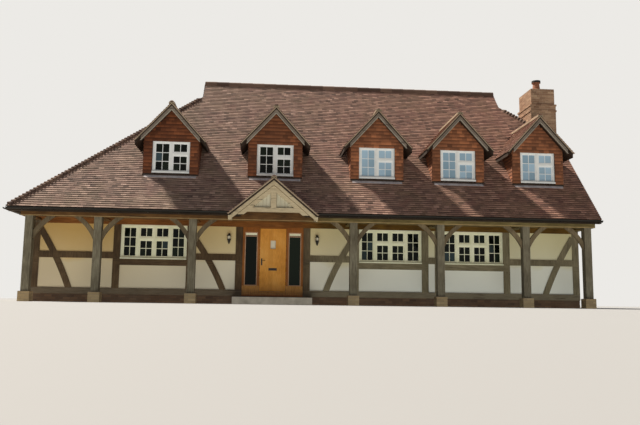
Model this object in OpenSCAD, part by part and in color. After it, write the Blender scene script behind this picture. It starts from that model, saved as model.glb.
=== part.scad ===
/* [House] */
// Length of the ground floor box, outside the corner posts
house_len = 17650; // [17000:50:18500]
// Depth of the ground floor box, front wall to rear wall
house_depth = 8150; // [7600:50:9000]
// Thickness of the oak framed walls
wall_t = 200; // [160:10:240]
// Height of the brick plinth above the ground
plinth_h = 250; // [180:10:300]
// Set-back of the brick plinth behind the face of the frame
plinth_recess = 15; // [5:5:40]
// Height of the finished ground floor above the ground
floor_z = 380; // [340:10:395]

/* [Timber frame] */
// Width of the upright posts in the walls
stud_w = 220; // [160:10:260]
// Height of the sole beam on the plinth
sole_h = 190; // [150:10:230]
// Height above the ground of the top of the window sill rails
sill_z = 1365; // [1250:5:1450]
// Height of the rails in the walls
rail_h = 200; // [140:10:240]
// Width of the curved wall braces
wall_brace_w = 190; // [120:10:220]
// Rise of the arc in a wall brace
wall_brace_bow = 60; // [30:5:90]
// Thickness of the rendered infill panels
panel_t = 140; // [80:10:150]
// Set-back of the panels behind the face of the frame
panel_recess = 25; // [5:5:40]

/* [Windows] */
// Width of the ground floor windows
window_w = 2070; // [1800:10:2200]
// Depth of the window frames, front to back
frame_d = 70; // [50:5:90]
// Width of the outer members of a window frame
frame_w = 62; // [45:1:75]
// Width of the mullions and transoms
mullion_w = 70; // [50:1:90]
// Height of the lower opening light as a share of the window height
lower_light = 0.62; // [0.5:0.01:0.7]
// Thickness of the glass
glass_t = 8; // [6:1:12]
// Set-back of the window frames behind the face of the wall
window_recess = 40; // [20:5:60]

/* [Door] */
// Width of the door leaf
door_w = 840; // [760:10:900]
// Height of the door leaf
door_h = 2015; // [1950:5:2030]
// Thickness of the door leaf
door_t = 50; // [40:1:60]
// Gap round the door leaf
door_gap = 8; // [6:1:10]
// Height of the door frame's head over the leaf, up to the head beam
door_head_t = 22; // [15:1:60]
// Clear width of each sidelight
sidelight_w = 410; // [350:10:430]
// Width of the door mullions and jambs
jamb_w = 68; // [50:1:80]
// Height of the threshold above the ground
threshold_z = 397; // [395:1:405]
// Height of the doorstep
step_h = 220; // [150:10:240]
// Depth of the doorstep in front of the wall
step_d = 420; // [300:10:500]
// Length of the doorstep
step_len = 2500; // [2000:50:2700]

/* [Veranda] */
// Depth from the front wall to the front of the posts
veranda_depth = 1200; // [1000:10:1400]
// Side of the square veranda posts
post_w = 225; // [180:5:260]
// Side of the square brick piers
pier_w = 328; // [300:1:360]
// Height of the brick piers
pier_h = 300; // [225:5:375]
// Width of the first and the last bay, post to post
end_bay = 2000; // [1800:25:2200]
// Width of the bay on the left of the porch
left_bay = 2800; // [2600:25:2900]
// Width of the porch bay
porch_bay = 4900; // [4700:25:5100]
// Width of the two bays on the right of the porch
right_bay = 2725; // [2600:25:2800]
// Height of the underside of the veranda beam above the underside of the head beam
beam_up = 80; // [30:10:110]
// How far a curved brace reaches along the beam
brace_reach = 610; // [450:10:700]
// How far a curved brace drops below the beam
brace_drop = 700; // [500:10:800]
// Depth of the braces in their own plane
brace_w = 130; // [90:5:160]
// Thickness of the braces, front to back
brace_t = 90; // [60:5:120]
// Rise of the arc in a veranda brace
brace_bow = 70; // [40:5:110]

/* [Roof] */
// Pitch of the front and rear slopes, in degrees
main_pitch = 47.5; // [46:0.5:50]
// Pitch of the hips, in degrees
hip_pitch = 43; // [42:0.5:46]
// Thickness of the roof, square to its slope
roof_t = 200; // [150:10:230]
// Height of the tile edge at the eaves above the underside of the head beam
eaves_up = 330; // [290:10:370]
// Height of the eaves edge, from its level soffit to the tile edge
eaves_h = 150; // [120:5:200]
// Visible length of a roof tile on its slope
tile_gauge = 100; // [90:5:115]
// Overhang of the front eaves in front of the veranda posts
front_eaves = 320; // [250:10:400]
// Overhang of the rear eaves
rear_eaves = 390; // [350:10:450]
// Overhang of the eaves of the left hip
left_eaves = 290; // [260:10:360]
// Overhang of the verge and the half hip on the right
verge_out = 50; // [40:10:200]
// Height of the foot of the gablets above the eaves
gablet_up = 4775; // [4620:5:4920]
// Height of the eaves of the half hip above the main eaves
half_hip_up = 3220; // [2920:10:3420]
// Radius of the ridge tiles
ridge_r = 125; // [100:5:150]
// Length of a ridge tile
ridge_tile_len = 445; // [300:5:460]
// Radius of a bonnet tile at its tail
hip_r = 130; // [110:5:150]
// How far the tail of a bonnet tile stands over the next one down
bonnet_step = 42; // [30:1:50]
// Depth of the bonnets' axis below the hip line
hip_sink = 55; // [40:5:70]
// Radius of the half round gutter
gutter_r = 62; // [50:1:75]

/* [Dormers] */
// Width of a dormer, outside its cheeks
dormer_w = 1700; // [1600:10:1800]
// Distance of the first dormer from the left end of the house
dormer_first = 4210; // [4100:10:4300]
// Distance of the last dormer from the right end of the house
dormer_last = 1500; // [1400:10:1600]
// Distance between the three dormers on the right
dormer_close_gap = 2680; // [2600:10:2800]
// Set-out of the dormer faces in front of the front wall
dormer_face = 420; // [350:10:500]
// Height of the dormer window sill above the eaves
dormer_sill_up = 1280; // [1260:10:1370]
// Height of the dormer ridge above the eaves
dormer_top_up = 3470; // [3370:10:3520]
// Pitch of the dormer roofs, in degrees
dormer_pitch = 48; // [46:0.5:50]
// Thickness of the dormer roofs, square to their slope
dormer_roof_t = 90; // [70:5:110]
// Half width of a dormer roof, ridge to eaves
dormer_half = 1100; // [1050:10:1150]
// Half width of the bargeboards at their feet
barge_half = 910; // [880:10:950]
// Overhang of the dormer roof in front of its face
dormer_out = 270; // [200:10:300]
// Thickness of the dormer walls
dormer_wall_t = 120; // [90:5:150]
// Width of the dormer windows
dormer_window_w = 1170; // [1100:10:1220]
// Height of the dormer windows
dormer_window_h = 1050; // [950:10:1090]
// Depth of the bargeboards on their slope
barge_w = 150; // [120:5:220]
// Thickness of the bargeboards
barge_t = 50; // [35:1:60]
// Thickness of the lead aprons with the lap of tiles under them
apron_t = 38; // [30:1:45]
// How far the lead aprons reach in front of the dormers
apron_out = 112; // [90:2:150]

/* [Porch gable] */
// Set-off of the gable from the middle of the door
porch_shift = -35; // [-60:5:60]
// Half width of the porch gable at its feet
porch_half = 1330; // [1250:5:1400]
// Height of the tip of the porch gable above the eaves
porch_top_up = 1030; // [920:10:1070]
// Pitch of the porch gable, in degrees
porch_pitch = 40; // [39:0.5:43]
// Height of the top of the tie beam above the eaves
porch_tie_up = 105; // [90:5:170]
// Depth of the tie beam
porch_tie_h = 125; // [100:5:150]
// Thickness of the porch roof, square to its slope
porch_roof_t = 70; // [50:5:90]
// Width of the outer rafters
porch_barge_w = 100; // [80:5:120]
// Width of the inner rafters
porch_rafter_w = 120; // [100:5:140]
// Gap between the outer and the inner rafters
porch_gap = 12; // [8:1:20]
// Width of the king post
porch_king_w = 165; // [120:5:180]
// How far the tiles overhang the outer rafters
porch_lap = 60; // [40:5:80]
// Side of the square plates under the feet of the outer rafters
porch_plate_w = 110; // [90:5:130]

/* [Chimney] */
// Width of the chimney along the house
chimney_w = 980; // [900:10:1100]
// Depth of the chimney across the house
chimney_d = 1300; // [1200:10:1400]
// How far the chimney reaches beyond the right wall
chimney_out = 650; // [600:10:750]
// Height of the top of the chimney above the eaves
chimney_top_up = 5610; // [5420:10:5920]
// Depth of the wide breast at the foot of the chimney
breast_d = 1650; // [1500:10:1800]
// Height above the ground of the shoulders of the breast
shoulder_z = 3900; // [3500:50:4200]
// Projection of the two brick bands near the top
band_out = 25; // [15:5:40]
// Height of the bands
band_h = 65; // [60:5:75]
// Set-back of the top of the chimney above the bands
head_inset = 35; // [20:5:50]
// Height of the top above the upper band
head_h = 620; // [500:10:700]
// Distance between the two bands
band_gap = 225; // [150:75:300]
// Height of the chimney pot
pot_h = 440; // [350:10:500]
// Outer radius of the chimney pot
pot_r = 145; // [120:5:180]

/* [Hidden] */

// Slack that cutting bodies reach beyond the face they cut
cut = 10;
// Length that is longer than the whole house
far = 30000;
// Clearance at which a piece seats on a slope
seat = 0.3;
lift = seat / cos(main_pitch);

// Heights that follow the door and the eaves
leaf_z = threshold_z + door_gap;
head_z = leaf_z + door_h + door_gap + door_head_t;
beam_z = head_z + beam_up;
eaves_z = head_z + eaves_up;
gablet_z = eaves_z + gablet_up;
half_hip_z = eaves_z + half_hip_up;
dormer_sill_z = eaves_z + dormer_sill_up;
dormer_top_z = eaves_z + dormer_top_up;
porch_top_z = eaves_z + porch_top_up;
porch_tie_z = eaves_z + porch_tie_up;
chimney_top_z = eaves_z + chimney_top_up;

// Eaves, verge and ridge lines of the main roof
y_front = -veranda_depth - front_eaves;
y_rear = house_depth + rear_eaves;
y_ridge = (y_front + y_rear) / 2;
x_left = -left_eaves;
x_right = house_len + verge_out;
ridge_z = eaves_z + (y_ridge - y_front) * tan(main_pitch);
x_gablet_l = x_left + (gablet_z - eaves_z) / tan(hip_pitch);
x_gablet_r = x_right - (gablet_z - half_hip_z) / tan(hip_pitch);
half_ridge = (ridge_z - gablet_z) / tan(main_pitch);
half_hip_run = (ridge_z - half_hip_z) / tan(main_pitch);
main_tv = roof_t / cos(main_pitch);
hip_tv = roof_t / cos(hip_pitch);

// The model is built from the outer corner of the front wall and then centred
x_min = x_left - 2 * gutter_r;
x_max = house_len + chimney_out + band_out;
y_min = y_front - 2 * gutter_r;
y_max = y_rear + 2 * gutter_r;

// Heights that follow from the roof
beam_top = floor(eaves_z + front_eaves * tan(main_pitch) - main_tv - lift);
left_top = floor(eaves_z + left_eaves * tan(hip_pitch) - hip_tv - lift);
rear_top = floor(eaves_z + rear_eaves * tan(main_pitch) - main_tv - lift);
slab_t = 180;
slab_top = left_top;
slab_z = slab_top - slab_t;

// Centres of the veranda posts, windows and dormers along the front
first_post = (house_len - 2 * end_bay - left_bay - porch_bay - 2 * right_bay) / 2;
post_x = [first_post, first_post + end_bay, first_post + end_bay + left_bay,
    first_post + end_bay + left_bay + porch_bay,
    first_post + end_bay + left_bay + porch_bay + right_bay,
    first_post + end_bay + left_bay + porch_bay + 2 * right_bay,
    house_len - first_post];
door_x = (post_x[2] + post_x[3]) / 2;
left_window_shift = 80;
window_x = [(post_x[1] + post_x[2]) / 2 + left_window_shift,
    (post_x[3] + post_x[4]) / 2, (post_x[4] + post_x[5]) / 2];
dormer_x = [dormer_first, door_x, house_len - dormer_last - 2 * dormer_close_gap,
    house_len - dormer_last - dormer_close_gap, house_len - dormer_last];
rear_dormer_x = [dormer_x[0], (dormer_x[1] + dormer_x[2]) / 2, dormer_x[3]];

// Door opening between its two wall posts
frame_total = 2 * jamb_w + 2 * sidelight_w + 2 * jamb_w + door_w + 2 * door_gap;
door_l = door_x - frame_total / 2;
door_r = door_x + frame_total / 2;
leaf_l = door_x - door_w / 2;
leaf_r = door_x + door_w / 2;
leaf_y = 70;
pin_y = leaf_y + door_t + 10;
pin_r = 8;
knuckle_zs = [leaf_z + 250, leaf_z + door_h / 2, leaf_z + door_h - 250];
knuckle_h = 100;

// Window bays of the other walls
side_window_shift = 500;
side_window_y = [wall_t + stud_w + window_w / 2,
    house_depth - wall_t - stud_w - window_w / 2 - side_window_shift];
rear_window_x = [house_len * 0.16, house_len * 0.39, house_len * 0.62, house_len * 0.84];
window_h = head_z - sill_z;

// Slope of the main roof surface above a place, and its underside
function front_top(y) = eaves_z + (y - y_front) * tan(main_pitch);
function front_under(y) = front_top(y) - main_tv;
function y_on_front(z) = y_front + (z - eaves_z) / tan(main_pitch);

module centred() {
    translate([-(x_min + x_max) / 2, -(y_min + y_max) / 2, 0]) children();
}

// A box between two corners
module block(a, b) {
    translate(a) cube(b - a);
}

// An elevation drawn in x and z, given a thickness from y0 backwards
module upright(y0, t) {
    translate([0, y0 + t, 0]) rotate([90, 0, 0]) linear_extrude(t) children();
}

// A section drawn in y and z, given a length from x0 to the right
module lengthwise(x0, len) {
    translate([x0, 0, 0]) rotate([90, 0, 90]) linear_extrude(len) children();
}

// Wall drawings run along x with the outer face at y = 0: this sets them on each side
module on_side(side) {
    if (side == "front") children();
    if (side == "rear") translate([0, house_depth, 0]) mirror([0, 1, 0]) children();
    if (side == "left") mirror([1, -1, 0]) children();
    if (side == "right") translate([house_len, 0, 0]) mirror([1, 0, 0]) mirror([1, -1, 0]) children();
}

// A curved timber between two points, bowed to the left of its direction
module arc_member(p, q, w, bow) {
    chord = norm(q - p);
    r = (chord * chord / 4 + bow * bow) / (2 * bow);
    dir = (q - p) / chord;
    c = (p + q) / 2 + [dir[1], -dir[0]] * (r - bow);
    intersection() {
        difference() {
            translate(c) circle(r = r + w / 2, $fn = 360);
            translate(c) circle(r = r - w / 2, $fn = 360);
        }
        polygon([c, c + (p - c) * 1.2, c + (q - c) * 1.2]);
    }
}

// The timbers of one wall as an elevation
module frame_elevation(u0, u1, top, windows, studs, rails, braces) {
    translate([u0, plinth_h]) square([u1 - u0, sole_h]);
    if (top > head_z) translate([u0, head_z]) square([u1 - u0, top - head_z]);
    for (s = studs) translate([s, plinth_h]) square([stud_w, top - plinth_h]);
    for (w = windows) {
        translate([w - window_w / 2 - stud_w, plinth_h]) square([stud_w, top - plinth_h]);
        translate([w + window_w / 2, plinth_h]) square([stud_w, top - plinth_h]);
        translate([w - window_w / 2 - cut, sill_z - rail_h]) square([window_w + 2 * cut, rail_h]);
    }
    for (r = rails) translate([r[0] - cut, sill_z]) square([r[1] - r[0] + 2 * cut, rail_h]);
    for (b = braces) arc_member(b[0], b[1], wall_brace_w, wall_brace_bow);
}

// What the timbers and the windows leave open in a wall is filled with render
module panel_elevation(u0, u1, top, windows, studs, rails, braces) {
    difference() {
        translate([u0, plinth_h]) square([u1 - u0, head_z - plinth_h]);
        frame_elevation(u0, u1, top, windows, studs, rails, braces);
        for (w = windows) translate([w - window_w / 2, sill_z]) square([window_w, window_h]);
    }
}

// Layouts of the walls: windows, posts, rails and braces
brace_in = 20;
brace_top = head_z - 150;
brace_low_top = brace_top - 200;
brace_foot = plinth_h + sole_h - brace_in;
brace_run = 950;
mid_brace_run = brace_run - 100;
rear_brace_run = brace_run - 500;
left_studs = [0, door_l - stud_w];
left_rails = [[stud_w, window_x[0] - window_w / 2 - stud_w],
    [window_x[0] + window_w / 2 + stud_w, door_l - stud_w]];
left_braces = [
    [[stud_w - brace_in, brace_top], [stud_w + brace_run, brace_foot]],
    [[window_x[0] + window_w / 2 + stud_w - brace_in, brace_low_top],
        [window_x[0] + window_w / 2 + stud_w + brace_run, brace_foot]]];
right_studs = [door_r, house_len - stud_w];
right_rails = [[door_r + stud_w, window_x[1] - window_w / 2 - stud_w],
    [window_x[1] + window_w / 2 + stud_w, window_x[2] - window_w / 2 - stud_w],
    [window_x[2] + window_w / 2 + stud_w, house_len - stud_w]];
right_braces = [
    [[window_x[1] - window_w / 2 - stud_w - mid_brace_run, brace_foot],
        [window_x[1] - window_w / 2 - stud_w + brace_in, brace_low_top]],
    [[house_len - stud_w - brace_run, brace_foot], [house_len - stud_w + brace_in, brace_top]]];
left_u = [wall_t, house_depth];
right_u = [wall_t, house_depth - wall_t];
side_studs = [wall_t, house_depth - wall_t - stud_w, house_depth / 2 - stud_w / 2];
side_rails = [[side_window_y[0] + window_w / 2 + stud_w, house_depth / 2 - stud_w / 2],
    [house_depth / 2 + stud_w / 2, side_window_y[1] - window_w / 2 - stud_w],
    [side_window_y[1] + window_w / 2 + stud_w, house_depth - wall_t - stud_w]];
rear_u = [wall_t, house_len];
rear_studs = [wall_t, house_len - stud_w];
rear_rails = [[wall_t + stud_w, rear_window_x[0] - window_w / 2 - stud_w],
    [rear_window_x[0] + window_w / 2 + stud_w, rear_window_x[1] - window_w / 2 - stud_w],
    [rear_window_x[1] + window_w / 2 + stud_w, rear_window_x[2] - window_w / 2 - stud_w],
    [rear_window_x[2] + window_w / 2 + stud_w, rear_window_x[3] - window_w / 2 - stud_w],
    [rear_window_x[3] + window_w / 2 + stud_w, house_len - stud_w]];
rear_braces = [
    [[wall_t + stud_w - brace_in, brace_top], [wall_t + stud_w + rear_brace_run, brace_foot]],
    [[house_len - stud_w - rear_brace_run, brace_foot], [house_len - stud_w + brace_in, brace_top]]];

// One window frame in elevation, with its lights
module lights_4(w, h) {
    light = (w - 2 * frame_w - 3 * mullion_w) / 4;
    low = (h - 2 * frame_w - mullion_w) * lower_light;
    for (i = [0, 3]) translate([frame_w + i * (light + mullion_w), frame_w])
        square([light, h - 2 * frame_w]);
    for (i = [1, 2]) translate([frame_w + i * (light + mullion_w), frame_w]) {
        square([light, low]);
        translate([0, low + mullion_w]) square([light, h - 2 * frame_w - mullion_w - low]);
    }
}

module lights_2(w, h) {
    light = (w - 2 * frame_w - mullion_w) / 2;
    low = (h - 2 * frame_w - mullion_w) * lower_light;
    translate([frame_w, frame_w]) square([light, h - 2 * frame_w]);
    translate([frame_w + light + mullion_w, frame_w]) {
        square([light, low]);
        translate([0, low + mullion_w]) square([light, h - 2 * frame_w - mullion_w - low]);
    }
}

module ground_window_at(u) {
    upright(window_recess, frame_d) translate([u - window_w / 2, sill_z]) difference() {
        square([window_w, window_h]);
        lights_4(window_w, window_h);
    }
}

module ground_glass_at(u) {
    upright(window_recess + (frame_d - glass_t) / 2, glass_t)
        translate([u - window_w / 2, sill_z]) lights_4(window_w, window_h);
}

module brick_plinth() color("#4d3a33") centred() difference() {
    block([plinth_recess, plinth_recess, 0],
        [house_len - plinth_recess, house_depth - plinth_recess, plinth_h]);
    block([wall_t, wall_t, -cut], [house_len - wall_t, house_depth - wall_t, plinth_h + cut]);
}

module ground_floor() color("#8a7a66") centred()
    block([wall_t, wall_t, 0], [house_len - wall_t, house_depth - wall_t, floor_z]);

module doorstep() color("#9a9088") centred()
    block([door_x - step_len / 2, plinth_recess - step_d, 0],
        [door_x + step_len / 2, plinth_recess, step_h]);

module front_frame_left() color("#6f5a45") centred() upright(0, wall_t)
    frame_elevation(0, door_l, head_z, [window_x[0]], left_studs, left_rails, left_braces);

module front_frame_right() color("#6f5a45") centred() upright(0, wall_t)
    frame_elevation(door_r, house_len, head_z, [window_x[1], window_x[2]],
        right_studs, right_rails, right_braces);

module front_head_beam() color("#8a5a2c") centred()
    block([post_w, 0, head_z], [house_len - post_w, wall_t, slab_z]);

module front_panels() color("#d5c8ab") centred() upright(panel_recess, panel_t) {
    panel_elevation(0, door_l, head_z, [window_x[0]], left_studs, left_rails, left_braces);
    panel_elevation(door_r, house_len, head_z, [window_x[1], window_x[2]],
        right_studs, right_rails, right_braces);
}

// The top plates of the two side frames run over the corner posts to the front
module left_frame() color("#6f5a45") centred() {
    on_side("left") upright(0, wall_t)
        frame_elevation(left_u[0], left_u[1], left_top, side_window_y, side_studs, side_rails, []);
    block([0, 0, head_z], [post_w, wall_t, left_top]);
}

module side_panels() color("#d5c8ab") centred() {
    on_side("left") upright(panel_recess, panel_t)
        panel_elevation(left_u[0], left_u[1], left_top, side_window_y, side_studs, side_rails, []);
    on_side("right") upright(panel_recess, panel_t)
        panel_elevation(right_u[0], right_u[1], beam_top, side_window_y, side_studs, side_rails, []);
}

module right_frame() color("#6f5a45") centred() {
    on_side("right") upright(0, wall_t)
        frame_elevation(right_u[0], right_u[1], beam_top, side_window_y, side_studs, side_rails, []);
    block([house_len - post_w, 0, head_z], [house_len, wall_t, beam_top]);
}

module rear_frame() color("#6f5a45") centred() on_side("rear") upright(0, wall_t)
    frame_elevation(rear_u[0], rear_u[1], rear_top, rear_window_x, rear_studs, rear_rails, rear_braces);

module rear_panels() color("#d5c8ab") centred() on_side("rear") upright(panel_recess, panel_t)
    panel_elevation(rear_u[0], rear_u[1], rear_top, rear_window_x, rear_studs, rear_rails, rear_braces);

module all_ground_windows() {
    on_side("front") for (u = window_x) children_at(u) children();
    on_side("rear") for (u = rear_window_x) children_at(u) children();
    on_side("left") for (u = side_window_y) children_at(u) children();
    on_side("right") for (u = side_window_y) children_at(u) children();
}

module children_at(u) translate([u, 0, 0]) children();

module ground_windows() color("#e4e2cf") centred() all_ground_windows() ground_window_at(0);

// The dormer window set at the origin of its dormer
module dormer_window_elevation() difference() {
    translate([-dormer_window_w / 2, 0]) square([dormer_window_w, dormer_window_h]);
    translate([-dormer_window_w / 2, 0]) lights_2(dormer_window_w, dormer_window_h);
}

module upper_glass() upright(window_recess + (frame_d - glass_t) / 2, glass_t)
    translate([-dormer_window_w / 2, 0]) lights_2(dormer_window_w, dormer_window_h);

module at_dormer(x) translate([x, -dormer_face, dormer_sill_z]) children();

module at_rear_dormer(x) translate([0, 2 * y_ridge, 0]) mirror([0, 1, 0]) at_dormer(x) children();

module all_dormers() {
    for (x = dormer_x) at_dormer(x) children();
    for (x = rear_dormer_x) at_rear_dormer(x) children();
}

module all_gable_windows() for (y = gable_window_y)
    on_side("right") translate([y, 0, gable_window_z]) children();
gable_window_z = dormer_sill_z;
gable_window_off = 900;
gable_window_y = [y_ridge - chimney_d / 2 - gable_window_off, y_ridge + chimney_d / 2 + gable_window_off];

module window_glass() color("#9fb3bd") centred() {
    all_ground_windows() ground_glass_at(0);
    all_dormers() upper_glass();
    all_gable_windows() upper_glass();
    for (side = [-1, 1]) block(
        [door_x + side * (door_w / 2 + door_gap + jamb_w + sidelight_w / 2) - sidelight_w / 2,
            sidelight_y, sidelight_low],
        [door_x + side * (door_w / 2 + door_gap + jamb_w + sidelight_w / 2) + sidelight_w / 2,
            sidelight_y + glass_t, sidelight_top]);
}

sidelight_y = leaf_y + 20;
sidelight_low = 580;
sidelight_head_t = 155;
sidelight_top = head_z - sidelight_head_t;
door_frame_y = 40;
door_frame_back = 160;
knuckle_gap = 1;
knuckle_seat = 4;
knuckle_leaf_t = 6;

module door_frame() color("#a06a30") centred() {
    difference() {
        block([door_l, door_frame_y, plinth_h], [door_r, door_frame_back, head_z]);
        block([leaf_l - door_gap, 0, threshold_z], [leaf_r + door_gap, wall_t, leaf_z + door_h + door_gap]);
        for (side = [-1, 1]) block(
            [door_x + side * (door_w / 2 + door_gap + jamb_w + sidelight_w / 2) - sidelight_w / 2,
                0, sidelight_low],
            [door_x + side * (door_w / 2 + door_gap + jamb_w + sidelight_w / 2) + sidelight_w / 2,
                wall_t, sidelight_top]);
        for (z = knuckle_zs) block([leaf_r, pin_y - pin_r - knuckle_gap, z - knuckle_h / 2 - knuckle_gap],
            [leaf_r + door_gap + knuckle_seat, door_frame_back + cut, z + knuckle_h / 2 + knuckle_gap]);
    }
    for (z = knuckle_zs) {
        translate([leaf_r, pin_y, z - knuckle_h / 2]) cylinder(r = pin_r, h = knuckle_h, $fn = 48);
        block([leaf_r, pin_y - knuckle_leaf_t / 2, z - knuckle_h / 2],
            [leaf_r + door_gap + knuckle_seat, pin_y + knuckle_leaf_t / 2, z + knuckle_h / 2]);
    }
}

light_w = 210;
light_h = 310;
light_drop = 365;
letter_w = 264;
letter_h = 80;
letter_up = 665;
letter_edge = 20;
plate_t = 6;
handle_in = 40;
handle_up = 830;
plate_w = 45;
plate_h = 220;
lever_t = 14;
lever_out = 50;
lever_len = 115;
strap_len = 320;
strap_h = 50;
strap_t = 13;
light_z = leaf_z + door_h - light_drop - light_h;
letter_z = leaf_z + letter_up;
handle_z = leaf_z + handle_up;
lever_z = handle_z + 152;

module front_door() color("#b8772a") centred() difference() {
    block([leaf_l, leaf_y, leaf_z], [leaf_r, leaf_y + door_t, leaf_z + door_h]);
    block([door_x - light_w / 2, leaf_y - cut, light_z],
        [door_x + light_w / 2, leaf_y + door_t + cut, light_z + light_h]);
}

module door_light() color("#dfe3dc") centred()
    block([door_x - light_w / 2, leaf_y + (door_t - glass_t) / 2, light_z],
        [door_x + light_w / 2, leaf_y + (door_t + glass_t) / 2, light_z + light_h]);

module door_furniture() color("#22201f") centred() {
    // letter plate with its flap
    block([door_x - letter_w / 2, leaf_y - plate_t, letter_z],
        [door_x + letter_w / 2, leaf_y, letter_z + letter_h]);
    block([door_x - letter_w / 2 + letter_edge, leaf_y - 2 * plate_t, letter_z + letter_edge],
        [door_x + letter_w / 2 - letter_edge, leaf_y - plate_t, letter_z + letter_h - letter_edge]);
    // lever handle and its plate
    block([leaf_l + handle_in, leaf_y - plate_t, handle_z],
        [leaf_l + handle_in + plate_w, leaf_y, handle_z + plate_h]);
    translate([leaf_l + handle_in + plate_w / 2, leaf_y - plate_t, lever_z]) {
        rotate([90, 0, 0]) cylinder(r = lever_t / 2, h = lever_out, $fn = 24);
        translate([0, lever_t / 2 - lever_out, 0]) rotate([0, 90, 0])
            cylinder(r = lever_t / 2, h = lever_len, $fn = 24);
    }
    // strap of each hinge, lying on the inner face up to its knuckle
    for (z = knuckle_zs) difference() {
        block([leaf_r - strap_len, leaf_y + door_t, z - strap_h / 2],
            [leaf_r, leaf_y + door_t + strap_t, z + strap_h / 2]);
        translate([leaf_r, pin_y, z - strap_h]) cylinder(r = pin_r + seat, h = 2 * strap_h, $fn = 48);
    }
}

module veranda_piers() color("#9a7a62") centred()
    for (x = post_x) block([x - pier_w / 2, -veranda_depth + post_w / 2 - pier_w / 2, 0],
        [x + pier_w / 2, -veranda_depth + post_w / 2 + pier_w / 2, pier_h]);

module veranda_posts() color("#7a6a58") centred()
    for (x = post_x) block([x - post_w / 2, -veranda_depth, pier_h],
        [x + post_w / 2, -veranda_depth + post_w, beam_z]);

module veranda_beams() color("#7d6446") centred() {
    block([post_w - cut, -veranda_depth, beam_z], [house_len, -veranda_depth + post_w, beam_top]);
    block([0, -veranda_depth, beam_z], [post_w, 0, left_top]);
    block([house_len - post_w, -veranda_depth + post_w - cut, beam_z], [house_len, 0, beam_top]);
    for (i = [1 : 5]) block([post_x[i] - post_w / 2, -veranda_depth + post_w - cut, beam_z],
        [post_x[i] + post_w / 2, 0, slab_z]);
}

// One brace from the side of a post up to the beam, bowed upwards and tucked into both
brace_tuck = 40;
module veranda_brace(x, side) {
    upright(-veranda_depth + (post_w - brace_t) / 2, brace_t) intersection() {
        if (side > 0) arc_member([x + post_w / 2 - brace_tuck, beam_z - brace_drop + brace_tuck],
            [x + post_w / 2 + brace_reach - brace_tuck, beam_z + brace_tuck], brace_w, brace_bow);
        else arc_member([x - post_w / 2 - brace_reach + brace_tuck, beam_z + brace_tuck],
            [x - post_w / 2 + brace_tuck, beam_z - brace_drop + brace_tuck], brace_w, brace_bow);
        if (side > 0) translate([x + post_w / 2, 0]) square([2 * brace_reach, beam_z]);
        else translate([x - post_w / 2 - 2 * brace_reach, 0]) square([2 * brace_reach, beam_z]);
    }
}

module veranda_braces() color("#7a6a58") centred() {
    for (i = [0 : 5]) veranda_brace(post_x[i], 1);
    for (i = [1 : 6]) veranda_brace(post_x[i], -1);
}

module upper_floor() color("#8a6236") centred() {
    block([wall_t, wall_t, slab_z], [house_len - wall_t, house_depth - wall_t, slab_top]);
    block([post_w, -veranda_depth + post_w, slab_z], [house_len - post_w, wall_t, slab_top]);
}

// A half round gutter, open upwards, as a section round the origin
module gutter_section() difference() {
    circle(r = gutter_r, $fn = 48);
    circle(r = gutter_r - gutter_t, $fn = 48);
    translate([-gutter_r - cut, 0]) square([2 * (gutter_r + cut), gutter_r + cut]);
}

gutter_t = 6;
gutter_drop = 60;
gutter_z = eaves_z - gutter_drop;
gutter_lap = 20;
porch_clear = porch_half + porch_lap - gutter_lap;

module gutters() color("#1f1d1c") centred() {
    for (r = [[x_left, porch_x - porch_clear], [porch_x + porch_clear, x_right]])
        lengthwise(r[0], r[1] - r[0]) translate([y_front - gutter_r, gutter_z]) gutter_section();
    lengthwise(x_left, x_right - x_left) translate([y_rear + gutter_r, gutter_z]) gutter_section();
    translate([0, y_rear, 0]) rotate([90, 0, 0]) linear_extrude(y_rear - y_front)
        translate([x_left - gutter_r, gutter_z]) gutter_section();
}

// Section of the front or rear roof half in y and z
module main_section() polygon([[y_front, eaves_z], [y_ridge, ridge_z],
    [y_ridge, ridge_z - main_tv],
    [y_front + (main_tv - eaves_h) / tan(main_pitch), eaves_z - eaves_h],
    [y_front, eaves_z - eaves_h]]);

// Section of a hip in x and z, drawn from its eaves inwards
module hip_section(foot_z) polygon([[0, foot_z],
    [(gablet_z - foot_z) / tan(hip_pitch), gablet_z],
    [(gablet_z - foot_z) / tan(hip_pitch), gablet_z - hip_tv],
    [(hip_tv - eaves_h) / tan(hip_pitch), foot_z - eaves_h], [0, foot_z - eaves_h]]);

module main_plan() polygon([[x_left, y_front], [x_gablet_l, y_ridge - half_ridge],
    [x_gablet_l, y_ridge], [x_gablet_r, y_ridge], [x_gablet_r, y_ridge - half_ridge],
    [x_right, y_ridge - half_hip_run], [x_right, y_front]]);

// The opening in the slope behind each dormer, as wide as its inside. It ends where the slope comes up
// to the feet of the dormer's roof, so that the roof covers it.
module dormer_holes(xs) for (x = xs)
    block([x - dormer_in, y_front, dormer_sill_z], [x + dormer_in, y_on_front(dormer_hole_top), ridge_z]);
dormer_in = dormer_w / 2 - dormer_wall_t;
dormer_tv = dormer_roof_t / cos(dormer_pitch);
dormer_hole_top = floor(dormer_top_z - dormer_tv - dormer_in * tan(dormer_pitch));

module half_roof(xs) difference() {
    intersection() {
        lengthwise(x_left, x_right - x_left) main_section();
        linear_extrude(far) main_plan();
    }
    dormer_holes(xs);
}

module chimney_hole() block([chimney_l - seat, y_ridge - chimney_d / 2 - seat, 0],
    [chimney_l + far, y_ridge + chimney_d / 2 + seat, far]);

module front_slope() color("#75564e") centred() difference() {
    half_roof(dormer_x);
    porch_notch(0);
}

module rear_slope() color("#75564e") centred()
    translate([0, 2 * y_ridge, 0]) mirror([0, 1, 0]) half_roof(rear_dormer_x);

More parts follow.
